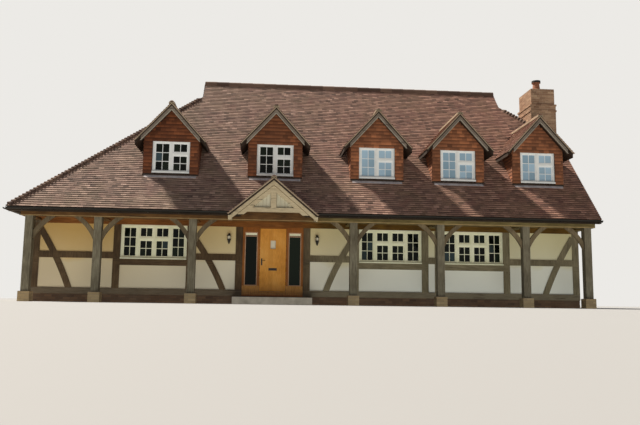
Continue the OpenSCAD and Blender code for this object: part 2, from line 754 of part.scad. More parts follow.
module left_hip() color("#75564e") centred() intersection() {
    upright(y_front, y_rear - y_front) translate([x_left, 0]) hip_section(eaves_z);
    linear_extrude(far) polygon([[x_left, y_front], [x_gablet_l, y_ridge - half_ridge],
        [x_gablet_l, y_ridge + half_ridge], [x_left, y_rear]]);
}

module right_half_hip() color("#75564e") centred() difference() {
    intersection() {
        upright(y_front, y_rear - y_front) translate([x_right, 0]) mirror([1, 0]) hip_section(half_hip_z);
        linear_extrude(far) polygon([[x_right, y_ridge - half_hip_run], [x_gablet_r, y_ridge - half_ridge],
            [x_gablet_r, y_ridge + half_ridge], [x_right, y_ridge + half_hip_run]]);
    }
    chimney_hole();
}

// Everything under the outer faces of the roof, for cutting what seats on it
module under_main() translate([0, 0, lift]) lengthwise(-far / 2, 2 * far)
    polygon([[y_front - far / 10, -far],
        [y_front - far / 10, eaves_z - far / 10 * tan(main_pitch)], [y_ridge, ridge_z],
        [y_rear + far / 10, eaves_z - far / 10 * tan(main_pitch)], [y_rear + far / 10, -far]]);
module under_left() translate([0, 0, lift]) upright(-far / 2, 2 * far)
    polygon([[x_left - seat, -far], [x_left - seat, eaves_z - seat * tan(hip_pitch)],
        [x_left + far / 2, eaves_z + far / 2 * tan(hip_pitch)], [x_left + far / 2, -far]]);
module under_right() translate([0, 0, lift]) upright(-far / 2, 2 * far)
    polygon([[x_right + seat, -far], [x_right + seat, half_hip_z - seat * tan(hip_pitch)],
        [x_right - far / 2, half_hip_z + far / 2 * tan(hip_pitch)], [x_right - far / 2, -far]]);

// Round tiles laid end to end along z: each tapers from its tail to its head, which goes in under
// the tail of the next one
module lapped_tiles(count, gauge, tail, head, sides) rotate_extrude($fn = sides) polygon([[0, 0],
    for (i = [0 : count - 1]) each [[tail, i * gauge], [head, (i + 1) * gauge]],
    [0, count * gauge]]);

// The bonnet tiles of a hip, one to each course of roof tiles, from its foot to the gablet
hip_foot = 60;
hip_end = 120;
module bonnets(foot, top) {
    d = top - foot;
    len = norm(d);
    gauge = tile_gauge * sin(main_pitch) * len / d[2];
    translate(foot) rotate([0, acos(d[2] / len), atan2(d[1], d[0])]) translate([hip_sink, 0, hip_foot])
        lapped_tiles(floor((len - hip_foot - hip_end) / gauge), gauge, hip_r, hip_r - bonnet_step, 32);
}

module ridge_tiles() color("#8f7466") centred() {
    ridge_count = round((x_gablet_r - x_gablet_l) / ridge_tile_len);
    difference() {
        translate([x_gablet_r, y_ridge, ridge_z - ridge_sink]) rotate([0, -90, 0])
            lapped_tiles(ridge_count, (x_gablet_r - x_gablet_l) / ridge_count, ridge_r,
                ridge_r - ridge_taper, 48);
        under_main();
    }
    difference() {
        for (side = [-1, 1]) bonnets([x_left, y_ridge + side * (y_ridge - y_front), eaves_z],
            [x_gablet_l, y_ridge + side * half_ridge, gablet_z]);
        intersection() {
            under_main();
            under_left();
        }
    }
    difference() {
        for (side = [-1, 1]) bonnets([x_right, y_ridge + side * half_hip_run, half_hip_z],
            [x_gablet_r, y_ridge + side * half_ridge, gablet_z]);
        intersection() {
            under_main();
            under_right();
        }
    }
}

ridge_sink = 25;
ridge_taper = 8;

gablet_t = 60;
module gablet_triangle() {
    low = gablet_z - hip_tv;
    top = ridge_z - main_tv - lift;
    half = (top - low) / tan(main_pitch);
    polygon([[y_ridge - half, low], [y_ridge + half, low], [y_ridge, top]]);
}

module gablets() color("#9c5238") centred() {
    lengthwise(x_gablet_l + seat, gablet_t) gablet_triangle();
    lengthwise(x_gablet_r - seat - gablet_t, gablet_t) gablet_triangle();
}

module right_gable() color("#9c5238") centred() difference() {
    lengthwise(house_len - wall_t, wall_t) polygon([[-veranda_depth, beam_top],
        [gable_shoulder, gable_flat], [2 * y_ridge - gable_shoulder, gable_flat],
        [house_depth, front_under(2 * y_ridge - house_depth) - lift],
        [house_depth, rear_top], [house_depth - wall_t, rear_top], [house_depth - wall_t, beam_top]]);
    chimney_hole_low();
    for (y = gable_window_y) translate([0, y - dormer_window_w / 2, gable_window_z])
        block([house_len - wall_t - cut, 0, 0], [house_len + cut, dormer_window_w, dormer_window_h]);
}
gable_flat = half_hip_z - eaves_h - lift + max(0, verge_out * tan(hip_pitch) - hip_tv + eaves_h);
gable_shoulder = y_on_front(gable_flat + main_tv + lift);
module chimney_hole_low() block([chimney_l, y_ridge - chimney_d / 2, corbel_z],
    [house_len + far, y_ridge + chimney_d / 2, far]);
corbel_z = eaves_z + 2420;

// Two slopes that meet at the height top over the origin, each as deep as depth plumb down
module chevron(half, top, depth, pitch) polygon([[-half, top - half * tan(pitch)], [0, top],
    [half, top - half * tan(pitch)], [half, top - half * tan(pitch) - depth], [0, top - depth],
    [-half, top - half * tan(pitch) - depth]]);

// The walls of one dormer at its own origin: face, two cheeks, cut off by the main roof
module dormer_walls() difference() {
    upright(0, dormer_face_len) polygon([[-dormer_w / 2, -dormer_foot], [dormer_w / 2, -dormer_foot],
        [dormer_w / 2, dormer_wall_top], [0, dormer_wall_top + dormer_w / 2 * tan(dormer_pitch)],
        [-dormer_w / 2, dormer_wall_top]]);
    translate([-dormer_w / 2 + dormer_wall_t, dormer_wall_t, -far])
        cube([dormer_w - 2 * dormer_wall_t, far, 2 * far]);
    translate([-dormer_window_w / 2, -cut, 0])
        cube([dormer_window_w, dormer_wall_t + 2 * cut, dormer_window_h]);
    translate([0, dormer_face, -dormer_sill_z]) under_main();
}
dormer_face_len = 3000;
dormer_foot = 600;
dormer_wall_top = dormer_top_z - dormer_tv - lift - dormer_sill_z - dormer_w / 2 * tan(dormer_pitch);

module dormer_1_walls() color("#9c5238") centred() at_dormer(dormer_x[0]) dormer_walls();
module dormer_2_walls() color("#9c5238") centred() at_dormer(dormer_x[1]) dormer_walls();
module dormer_3_walls() color("#9c5238") centred() at_dormer(dormer_x[2]) dormer_walls();
module dormer_4_walls() color("#9c5238") centred() at_dormer(dormer_x[3]) dormer_walls();
module dormer_5_walls() color("#9c5238") centred() at_dormer(dormer_x[4]) dormer_walls();
module rear_dormer_walls() color("#9c5238") centred()
    for (x = rear_dormer_x) at_rear_dormer(x) dormer_walls();

module dormer_roof() difference() {
    upright(-dormer_out, far / 5) chevron(dormer_half, dormer_rise, dormer_tv, dormer_pitch);
    translate([0, dormer_face, -dormer_sill_z]) under_main();
}
dormer_rise = dormer_top_z - dormer_sill_z;

module dormer_roofs() color("#75564e") centred() all_dormers() dormer_roof();

module dormer_bargeboards() color("#8a7c6a") centred() all_dormers()
    upright(-dormer_out - barge_t, barge_t)
        chevron(barge_half, dormer_rise, barge_w / cos(dormer_pitch), dormer_pitch);

module upper_windows() color("#e4e2cf") centred() {
    all_dormers() upright(window_recess, frame_d) dormer_window_elevation();
    all_gable_windows() upright(window_recess, frame_d) dormer_window_elevation();
}

// Lead under each dormer sill, dressed down the tiles
apron_in = 40;
module lead_aprons() color("#8f8a92") centred() all_dormers()
    translate([0, dormer_face, -dormer_sill_z]) difference() {
        intersection() {
            translate([0, 0, apron_t]) under_main();
            block([-dormer_w / 2 + apron_in, -dormer_face - apron_out, 0],
                [dormer_w / 2 - apron_in, -dormer_face, far]);
        }
        under_main();
    }

chimney_l = house_len + chimney_out - chimney_w;
module chimney_stack() color("#a06a50") centred() difference() {
    union() {
        block([house_len, y_ridge - chimney_d / 2, 0],
            [chimney_r, y_ridge + chimney_d / 2, band_z]);
        block([chimney_l, y_ridge - chimney_d / 2, corbel_z],
            [house_len + cut, y_ridge + chimney_d / 2, band_z]);
        block([chimney_l + head_inset, y_ridge - chimney_d / 2 + head_inset, band_z - cut],
            [chimney_r - head_inset, y_ridge + chimney_d / 2 - head_inset, chimney_top_z]);
        lengthwise(house_len, chimney_out) polygon([[y_ridge - breast_d / 2, 0],
            [y_ridge - breast_d / 2, shoulder_z], [y_ridge - chimney_d / 2, shoulder_z + shoulder_rise],
            [y_ridge + chimney_d / 2, shoulder_z + shoulder_rise], [y_ridge + breast_d / 2, shoulder_z],
            [y_ridge + breast_d / 2, 0]]);
        for (z = [band_z, band_z - band_gap])
            block([chimney_l - band_out, y_ridge - chimney_d / 2 - band_out, z - band_h],
                [chimney_r + band_out, y_ridge + chimney_d / 2 + band_out, z]);
    }
    translate([pot_x, pot_y, chimney_top_z - flue_depth])
        cylinder(r = pot_r - pot_t, h = flue_depth + cut, $fn = 48);
}
chimney_r = house_len + chimney_out;
shoulder_rise = 600;
band_z = chimney_top_z - head_h;
flue_depth = 600;
pot_in = 415;
pot_forward = 200;
pot_t = 40;
pot_x = chimney_l + pot_in;
pot_y = y_ridge - pot_forward;

// The pot has a rolled foot and a wide black rim round an open flue
pot_roll = 25;
pot_rim_h = 90;
module chimney_pot() color("#a5623f") centred() translate([pot_x, pot_y, chimney_top_z])
    rotate_extrude($fn = 64) polygon([[pot_r - pot_t, 0], [pot_r + pot_roll, 0],
        [pot_r + pot_roll, pot_rim_h], [pot_r, pot_rim_h + pot_roll],
        [pot_r - pot_roll, pot_h - pot_rim_h], [pot_r + pot_roll, pot_h - pot_rim_h],
        [pot_r + pot_roll, pot_h], [pot_r - pot_t, pot_h]]);

// The porch gable: outer and inner rafters, tie beam, king post and boards behind them
porch_x = door_x + porch_shift;
porch_out = 40;
porch_y = y_front - porch_out;
porch_frame_d = 120;
porch_set_back = 30;
porch_board_t = 30;
porch_foot_z = eaves_z - 105;
porch_tv = porch_roof_t / cos(porch_pitch);
porch_top_under = porch_top_z - porch_tv - lift;
porch_inner_top = porch_top_under - (porch_barge_w + porch_gap) / cos(porch_pitch);
porch_inner_under = porch_inner_top - porch_rafter_w / cos(porch_pitch);
porch_board_z = porch_tie_z - porch_tie_h;

// The triangle under a slope of the porch's pitch, down to a level
module porch_triangle(top, foot) polygon([[-(top - foot) / tan(porch_pitch), foot], [0, top],
    [(top - foot) / tan(porch_pitch), foot]]);

module porch_gable() color("#a98f6a") centred() {
    porch_truss();
    for (side = [-1, 1]) translate([porch_x + side * porch_plate_x - porch_plate_w / 2, 0, 0])
        block([0, porch_y - porch_plate_out, porch_plate_z],
            [porch_plate_w, -veranda_depth, porch_plate_top]);
}
porch_plate_x = 1290;
porch_plate_out = 15;
porch_plate_top = eaves_z - eaves_h - seat;
porch_plate_z = porch_plate_top - porch_plate_w;

module porch_truss() difference() {
    translate([porch_x, 0, 0]) {
        upright(porch_y, porch_frame_d)
            chevron(porch_half, porch_top_under, porch_barge_w / cos(porch_pitch), porch_pitch);
        upright(porch_y + porch_set_back, porch_frame_d - porch_set_back) {
            difference() {
                porch_triangle(porch_inner_top, porch_foot_z);
                porch_triangle(porch_inner_under, porch_foot_z - cut);
            }
            intersection() {
                porch_triangle(porch_inner_top, porch_foot_z);
                translate([-porch_half, porch_board_z]) square([2 * porch_half, porch_tie_h]);
            }
            translate([-porch_king_w / 2, porch_tie_z - cut])
                square([porch_king_w, porch_inner_under - porch_tie_z + 2 * cut]);
        }
        upright(porch_y + porch_frame_d, porch_board_t) porch_triangle(porch_top_under, porch_board_z);
    }
    difference() {
        roof_body();
        porch_notch(seat);
    }
}

// Where the porch gable stands, the eaves are cut back to the veranda beam
porch_notch_in = 60;
function porch_valley(y) = (porch_top_z - front_top(y)) / tan(porch_pitch) - porch_notch_in;
module porch_notch(clear) translate([porch_x, 0, 0]) linear_extrude(far) polygon([
    [clear - porch_valley(y_front), y_front - 2 * cut], [clear - porch_valley(y_front), y_front],
    [clear - porch_valley(-veranda_depth), -veranda_depth - clear],
    [porch_valley(-veranda_depth) - clear, -veranda_depth - clear],
    [porch_valley(y_front) - clear, y_front], [porch_valley(y_front) - clear, y_front - 2 * cut]]);

// The front slope with its clearance, as a cutting body
module roof_body() lengthwise(-far / 2, 2 * far) polygon([[y_front - seat, eaves_z + lift],
    [y_ridge, ridge_z + lift], [y_ridge, ridge_z - main_tv - far],
    [y_front - seat, eaves_z - main_tv - far]]);

module porch_roof() color("#75564e") centred() difference() {
    translate([porch_x, 0, 0]) upright(porch_y - porch_lap, far / 10)
        chevron(porch_half + porch_lap, porch_top_z, porch_tv, porch_pitch);
    under_main();
}

// A six sided wall lantern: a tapered body, a glazed waist and a cap, hung from an arm on its plate
lantern_offset = 1410;
lantern_drop = 565;
lantern_z = head_z - lantern_drop;
lantern_h = 348;
lantern_out = 95;
lantern_r = 64;
glass_low = 165;
glass_high = 255;
arm_t = 16;
backplate_t = 12;
backplate_low = 60;
module wall_lanterns() color("#1b1a19") centred() for (side = [-1, 1])
    translate([door_x + side * lantern_offset, panel_recess, lantern_z]) {
        block([-lantern_r / 2, -backplate_t, glass_high - backplate_low], [lantern_r / 2, 0, lantern_h]);
        block([-arm_t / 2, -lantern_out, lantern_h - 2 * arm_t],
            [arm_t / 2, -backplate_t, lantern_h - arm_t]);
        translate([0, -lantern_out, 0]) rotate_extrude($fn = 6) polygon([[0, 0], [14, 0], [18, 24],
            [lantern_r / 2, 45], [lantern_r - 4, glass_low - 15], [lantern_r, glass_low],
            [lantern_r - 20, glass_low], [lantern_r - 24, glass_high], [lantern_r + 2, glass_high],
            [lantern_r + 2, glass_high + 12], [26, lantern_h - 30], [12, lantern_h - 16],
            [12, lantern_h], [0, lantern_h]]);
    }

brick_plinth();
ground_floor();
doorstep();
front_frame_left();
front_frame_right();
front_head_beam();
front_panels();
left_frame();
right_frame();
side_panels();
rear_frame();
rear_panels();
ground_windows();
window_glass();
door_frame();
front_door();
door_light();
door_furniture();
veranda_piers();
veranda_posts();
veranda_beams();
veranda_braces();
upper_floor();
gutters();
front_slope();
rear_slope();
left_hip();
right_half_hip();
ridge_tiles();
gablets();
right_gable();
dormer_1_walls();
dormer_2_walls();
dormer_3_walls();
dormer_4_walls();
dormer_5_walls();
rear_dormer_walls();
dormer_roofs();
dormer_bargeboards();
upper_windows();
lead_aprons();
chimney_stack();
chimney_pot();
porch_gable();
porch_roof();
wall_lanterns();
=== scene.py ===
"""Looks of a half timbered house: plain clay tiles, brickwork, green oak, lime render, joinery and glass.

Lengths are metres in the CAD frame, +Z up, with the veranda on the -Y side. Places come from the boxes of
the CAD nodes, and the sizes of tiles, bricks, bars and boards are those of the real things.
"""
from functools import partial
from math import atan2, cos, pi, radians, sin, tan

import bpy
import numpy as np
from mathutils import Matrix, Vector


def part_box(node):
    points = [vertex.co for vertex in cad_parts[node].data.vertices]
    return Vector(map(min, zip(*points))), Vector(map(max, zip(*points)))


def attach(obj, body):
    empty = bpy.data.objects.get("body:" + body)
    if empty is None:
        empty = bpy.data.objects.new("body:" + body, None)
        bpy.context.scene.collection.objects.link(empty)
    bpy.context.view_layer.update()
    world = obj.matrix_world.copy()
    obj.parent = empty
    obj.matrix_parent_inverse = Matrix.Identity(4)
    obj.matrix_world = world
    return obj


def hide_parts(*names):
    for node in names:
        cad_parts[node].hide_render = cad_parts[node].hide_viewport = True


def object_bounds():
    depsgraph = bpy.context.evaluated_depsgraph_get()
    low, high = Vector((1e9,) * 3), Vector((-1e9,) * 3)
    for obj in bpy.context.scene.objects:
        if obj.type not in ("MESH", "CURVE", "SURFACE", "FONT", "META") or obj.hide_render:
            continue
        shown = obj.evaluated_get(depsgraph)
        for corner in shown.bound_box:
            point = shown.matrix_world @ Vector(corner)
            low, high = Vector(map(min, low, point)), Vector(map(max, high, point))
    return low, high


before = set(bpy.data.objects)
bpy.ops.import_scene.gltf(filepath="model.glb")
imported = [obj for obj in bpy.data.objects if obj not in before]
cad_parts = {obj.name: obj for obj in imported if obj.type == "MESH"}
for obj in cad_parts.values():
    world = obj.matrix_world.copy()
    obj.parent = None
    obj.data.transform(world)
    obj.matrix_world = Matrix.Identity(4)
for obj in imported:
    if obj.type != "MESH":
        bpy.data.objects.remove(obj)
cad_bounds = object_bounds()

X, Y, Z = np.eye(3)


def corners(node):
    """Lowest and highest corner of a CAD node as arrays."""
    return [np.array(corner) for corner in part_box(node)]


def islands(node):
    """Boxes of the separate solids of a CAD node. Points at one place share a number, and each triangle
    spreads the lowest number of its corners until nothing changes."""
    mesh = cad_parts[node].data
    mesh.calc_loop_triangles()
    points = np.empty(len(mesh.vertices) * 3)
    mesh.vertices.foreach_get("co", points)
    points = points.reshape(-1, 3)
    triangles = np.empty(len(mesh.loop_triangles) * 3, int)
    mesh.loop_triangles.foreach_get("vertices", triangles)
    place = np.unique(np.round(points, 4), axis=0, return_inverse=True)[1].ravel()
    triangles = place[triangles].reshape(-1, 3)
    label, before = np.arange(place.max() + 1), None
    while before is None or (label != before).any():
        before = label.copy()
        np.minimum.at(label, triangles.ravel(), np.repeat(before[triangles].min(1), 3))
    return [np.array([points[label[place] == one].min(0), points[label[place] == one].max(0)])
            for one in np.unique(label)]


# Sizes of the roof that the boxes don't give
MAIN_PITCH, HIP_PITCH, DORMER_PITCH, PORCH_PITCH = (radians(angle) for angle in (47.5, 43, 48, 40))
ROOF_T, DORMER_ROOF_T, EAVES_H = 0.200, 0.090, 0.150

slope_lo, slope_hi = corners("front_slope")
x_left, y_front, x_right, y_ridge, ridge_z = *slope_lo[:2], *slope_hi
eaves_z = slope_lo[2] + EAVES_H
y_rear = corners("rear_slope")[1][1]
x_gablet_l, gablet_z = corners("left_hip")[1][[0, 2]]
x_gablet_r = corners("right_half_hip")[0][0]
half_hip_z = corners("right_half_hip")[0][2] + EAVES_H
half_ridge = (ridge_z - gablet_z) / tan(MAIN_PITCH)
half_hip_run = (ridge_z - half_hip_z) / tan(MAIN_PITCH)
wall_y = corners("front_frame_left")[0][1]
house_r = corners("front_frame_right")[1][0]
wall_back = corners("rear_frame")[1][1]
plinth_z = corners("brick_plinth")[1][2]
door_lo, door_hi = corners("front_door")
door_x = (door_lo[0] + door_hi[0]) / 2
porch_lo, porch_hi = corners("porch_roof")
porch_x, porch_half = (porch_lo[0] + porch_hi[0]) / 2, (porch_hi[0] - porch_lo[0]) / 2


# Making meshes

def add_piece(name, parts, material, body="house"):
    """One mesh of several (points, faces, shade) parts, where shade is a number per point."""
    offsets = np.cumsum([0] + [len(part[0]) for part in parts])
    points = np.concatenate([part[0] for part in parts])
    faces = np.concatenate([part[1] + start for part, start in zip(parts, offsets)])
    shades = np.concatenate([part[2] for part in parts])
    mesh = bpy.data.meshes.new(name)
    mesh.vertices.add(len(points))
    mesh.vertices.foreach_set("co", points.ravel())
    mesh.loops.add(faces.size)
    mesh.loops.foreach_set("vertex_index", faces.ravel())
    mesh.polygons.add(len(faces))
    mesh.polygons.foreach_set("loop_start", np.arange(0, faces.size, 4))
    mesh.attributes.new("shade", "FLOAT", "POINT").data.foreach_set("value", shades)
    mesh.update(calc_edges=True)
    mesh.shade_flat()
    mesh.materials.append(material)
    piece = bpy.data.objects.new(name, mesh)
    bpy.context.scene.collection.objects.link(piece)
    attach(piece, body)
    return piece


BLOCK_FACES = np.array([[3, 2, 1, 0], [4, 5, 6, 7], [0, 1, 5, 4], [1, 2, 6, 5], [2, 3, 7, 6], [3, 0, 4, 7]])
CORNER_PICKS = np.array([[x, y, z] for z in (0, 1) for x, y in ((0, 0), (1, 0), (1, 1), (0, 1))])
draw = np.random.default_rng(48)


def blocks(corner_points, shade=None):
    """Closed eight cornered blocks, (n, 8, 3): four corners anticlockwise seen from above, then the four
    over them. A shade is one number a block or one a corner, (n, 8), and is drawn at random unless it is
    given."""
    count = len(corner_points)
    if shade is None:
        shade = draw.random(count)
    if np.ndim(shade) < 2:
        shade = np.broadcast_to(np.reshape(shade, (-1, 1)), (count, 8))
    faces = (np.arange(count)[:, None, None] * 8 + BLOCK_FACES).reshape(-1, 4)
    return corner_points.reshape(-1, 3), faces, shade.ravel()


def boxes(low, high, shade=None):
    """Upright boxes between two rows of corners."""
    low, high = np.atleast_2d(low), np.atleast_2d(high)
    return blocks(np.where(CORNER_PICKS[None], high[:, None], low[:, None]), shade)


def bars(start, end, side, up, shade=None):
    """Straight bars: a rectangle with half sides side and up, carried from start to end."""
    start, end, side, up = (np.atleast_2d(np.asarray(a, float)) for a in (start, end, side, up))
    flip = np.sign(np.einsum("ij,ij->i", np.cross(end - start, side), up))[:, None]
    side = side * flip
    ring = [start - side - up, end - side - up, end + side - up, start + side - up,
            start - side + up, end - side + up, end + side + up, start + side + up]
    return blocks(np.stack(np.broadcast_arrays(*ring), 1), shade)


# The last darkens a swaying tile at its head and under its tail: partly soot, partly painted shade under
# the next tail
COURSE_TONE, TILE_TONE, HEAD_SOOT_AND_SHADE = 0.05, 0.19, 0.68
# Height, turn a metre and drift a course of the sines that a course line waves by
WAVES = ((1.0, 3.1, 0.9), (0.6, 7.3, -1.7))
THIN, TINY, EDGE_SAMPLES = 0.001, 1e-6, 200


def courses(origin, along, up, left, right, span, tile, rise, wobble, joint=0.0, sway=0.0, holes=(),
            keep=None, first_tone=0.0):
    """Tiles or bricks in staggered courses on a plane.

    Course j starts at height span[0] + j * gauge up the plane, and every other one is shifted by half a
    tile. Each course line waves by the sum of two sines of the way along, sway high, that drift from course
    to course. A tile is a wedge: rise[0] off the plane at its tail and rise[1] at its head, both corners of
    the tail lifted at random by up to wobble, and the head by up to a third of that. Its corners are held
    between left(v) and right(v), which bend with the height v, and outside the holes (u0, u1, v0, v1). keep
    takes the middles in space and says which tiles stay. The shade is normal about a half by tile and by
    course, and first_tone higher in the first course, a painted highlight along the eaves. Tiles that sway
    are darker at the head and under the tail: partly soot, and partly painted shade under the next tail."""
    origin, along, up = (np.asarray(a, float) for a in (origin, along, up))
    normal = np.cross(along, up)
    width, gauge = tile
    number = np.arange(int(np.ceil((span[1] - span[0]) / gauge - TINY)))
    low = (span[0] + number * gauge)[:, None]
    high = np.minimum(low + gauge - joint, span[1])
    middle = (low + high) / 2
    reach = np.linspace(*span, EDGE_SAMPLES)
    first = left(reach).min()
    columns = np.arange(int(np.ceil((right(reach).max() - first) / width)) + 2)
    u0 = first + (columns[None] - 0.5 * (number[:, None] % 2)) * width
    u1 = u0 + width - joint
    for a, b, c, d in holes:
        beside = (middle > c) & (middle < d)
        u0 = np.where(beside & (u0 > a) & (u0 < b), b, u0)
        u1 = np.where(beside & (u1 > a) & (u1 < b), a, u1)
    tail_l, tail_r = np.maximum(u0, left(low)), np.minimum(u1, right(low))
    head_l, head_r = np.maximum(u0, left(high)), np.minimum(u1, right(high))
    show = (np.maximum(tail_r - tail_l, head_r - head_l) > 4 * THIN) & (high - low > 4 * THIN)
    for a, b in ((tail_l, tail_r), (head_l, head_r)):
        cross = b < a + THIN
        centre = np.clip((a + b) / 2, u0, u1)
        a[cross], b[cross] = (centre - THIN / 2)[cross], (centre + THIN / 2)[cross]
    low, high = np.broadcast_to(low, show.shape)[show], np.broadcast_to(high, show.shape)[show]
    row = np.broadcast_to(number[:, None], show.shape)[show]
    us = [a[show] for a in (tail_l, tail_r, head_r, head_l)]
    lift = draw.random((3, len(low))) * wobble
    ons = [rise[0] + lift[0], rise[0] + lift[1], rise[1] + lift[2] / 3, rise[1] + lift[2] / 3]
    vs = [v + sway * sum(tall * np.sin(turn * u + drift * j) for tall, turn, drift in WAVES)
          for v, u, j in zip((low, low, high, high), us, (row, row, row + 1, row + 1))]
    flat = [origin + u[:, None] * along + v[:, None] * up for u, v in zip(us, vs)]
    points = np.stack(flat + [p + h[:, None] * normal for p, h in zip(flat, ons)], 1)
    own = 0.5 + TILE_TONE * draw.standard_normal(len(row))
    own = own + (COURSE_TONE * draw.standard_normal(len(number)))[row] + first_tone * (row == 0)
    # Painted shade, with some soot, at the head and under the tail of each swaying tile
    soot_and_shade = (HEAD_SOOT_AND_SHADE if sway else 0.0) * np.array([1, 1, 1, 1, 0, 0, 1, 1])
    shade = np.clip(own[:, None] - soot_and_shade, 0, 1)
    if keep is not None:
        kept = keep(points[:, :4].mean(1))
        points, shade = points[kept], shade[kept]
    return blocks(points, shade)


def mirrored(part):
    """A part turned over to the other side of the ridge, with its faces kept outwards."""
    points, faces, shades = part
    return points * [1, -1, 1] + [0, 2 * y_ridge, 0], faces[:, ::-1], shades


def rows(*columns):
    """Points whose coordinates are rows of numbers, or one number for all."""
    return np.stack(np.broadcast_arrays(*columns), 1)


def level(value):
    """A boundary that is the same at every height."""
    return lambda v: np.full_like(v, value)


# Materials

def linear(colour):
    """An sRGB hex colour as linear RGBA."""
    channel = np.array([int(colour[i:i + 2], 16) for i in (1, 3, 5)]) / 255
    light = np.where(channel <= 0.04045, channel / 12.92, ((channel + 0.055) / 1.055) ** 2.4)
    return (*light.tolist(), 1.0)


def add_node(tree, kind, inputs, stops=None, out=None, **settings):
    """Adds a shader node and gives the output named out, or else its first one in use. inputs holds values
    or other nodes' outputs, by the sockets' names or in the order of the sockets in use. settings are the
    node's own, and stops are the places and hex colours of a colour ramp."""
    node = tree.nodes.new("ShaderNode" + kind)
    for key, value in settings.items():
        setattr(node, key, value)
    if isinstance(inputs, dict):
        pairs = [(node.inputs[key], value) for key, value in inputs.items()]
    else:
        pairs = zip([socket for socket in node.inputs if socket.enabled], inputs)
    for socket, value in pairs:
        if isinstance(value, bpy.types.NodeSocket):
            tree.links.new(value, socket)
        else:
            socket.default_value = value
    if stops:
        ramp = node.color_ramp.elements
        while len(ramp) < len(stops):
            ramp.new(1.0)
        for element, (place, colour) in zip(ramp, stops):
            element.position = place
            element.color = linear(colour)
    if out:
        return node.outputs[out]
    return next((socket for socket in node.outputs if socket.enabled), None)


def new_material(name, **sockets):
    """A material with one Principled shader. Gives the material, a call that adds a node to it, and the
    Object coordinates."""
    material = bpy.data.materials.new(name)
    material.use_nodes = True
    for key, value in sockets.items():
        material.node_tree.nodes["Principled BSDF"].inputs[key].default_value = value
    add = partial(add_node, material.node_tree)
    return material, add, add("TexCoord", [], out="Object")


def finished(material, colour, height=None, strength=0.4, depth=0.004):
    """Gives a material its colour and, from a pattern of heights, a bump of some strength and depth."""
    tree = material.node_tree
    sockets = tree.nodes["Principled BSDF"].inputs
    tree.links.new(colour, sockets["Base Color"])
    if height:
        bump = add_node(tree, "Bump", {"Height": height, "Strength": strength, "Distance": depth})
        tree.links.new(bump, sockets["Normal"])
    return material


def even_stops(colours):
    """Ramp stops at even distances, from hex colours in one text."""
    colours = colours.split()
    return [(i / (len(colours) - 1), colour) for i, colour in enumerate(colours)]


CLAY_ROUGH, SAND_GRIT, SAND_SHARE = 0.85, 0.012, 0.25
GRAIN_RUN, SHAKE = 12, "#2a211a"
TROWEL_MARK = 0.080


def fired_clay(name, tones, weather, weather_share, tint=None, bloom=None):
    """Fired clay, hand made and sanded: matt, one shade a tile or brick from its shade attribute, sand
    grit of 12 mm drawn coarse so that it shows, and weathered patches about a metre wide. tint is a colour
    that the tiles are multiplied by, and the two x between which it grows from nothing to full. bloom is
    the colour of smaller patches, about 40 cm wide, where the sand fired to another hue."""
    material, add, place = new_material(name, Roughness=CLAY_ROUGH)
    own = add("Attribute", [], out="Fac", attribute_name="shade")
    sand = add("TexNoise", {"Vector": place, "Scale": 1 / SAND_GRIT, "Detail": 3.0})
    colour = add("ValToRGB", [add("Mix", [SAND_SHARE, own, sand])], even_stops(tones))
    layers = [(weather, weather_share, 0.45, {"Scale": 0.9, "Detail": 6.0, "Roughness": 0.65})]
    if bloom:
        layers.append((bloom, 0.55, 0.5, {"Scale": 2.4, "Detail": 4.0}))
    for tone, most, clean, pattern in layers:
        patches = add("TexNoise", {"Vector": place, **pattern})
        share = add("MapRange", {"Value": patches, "From Min": clean, "From Max": 0.75, "To Max": most})
        colour = add("Mix", [share, colour, linear(tone)], data_type="RGBA")
    if tint:
        tone, none, full = tint
        along = add("SeparateXYZ", [place], out="X")
        share = add("MapRange", {"Value": along, "From Min": none, "From Max": full})
        colour = add("Mix", [share, colour, linear(tone)], data_type="RGBA", blend_type="MULTIPLY")
    return finished(material, colour, sand)


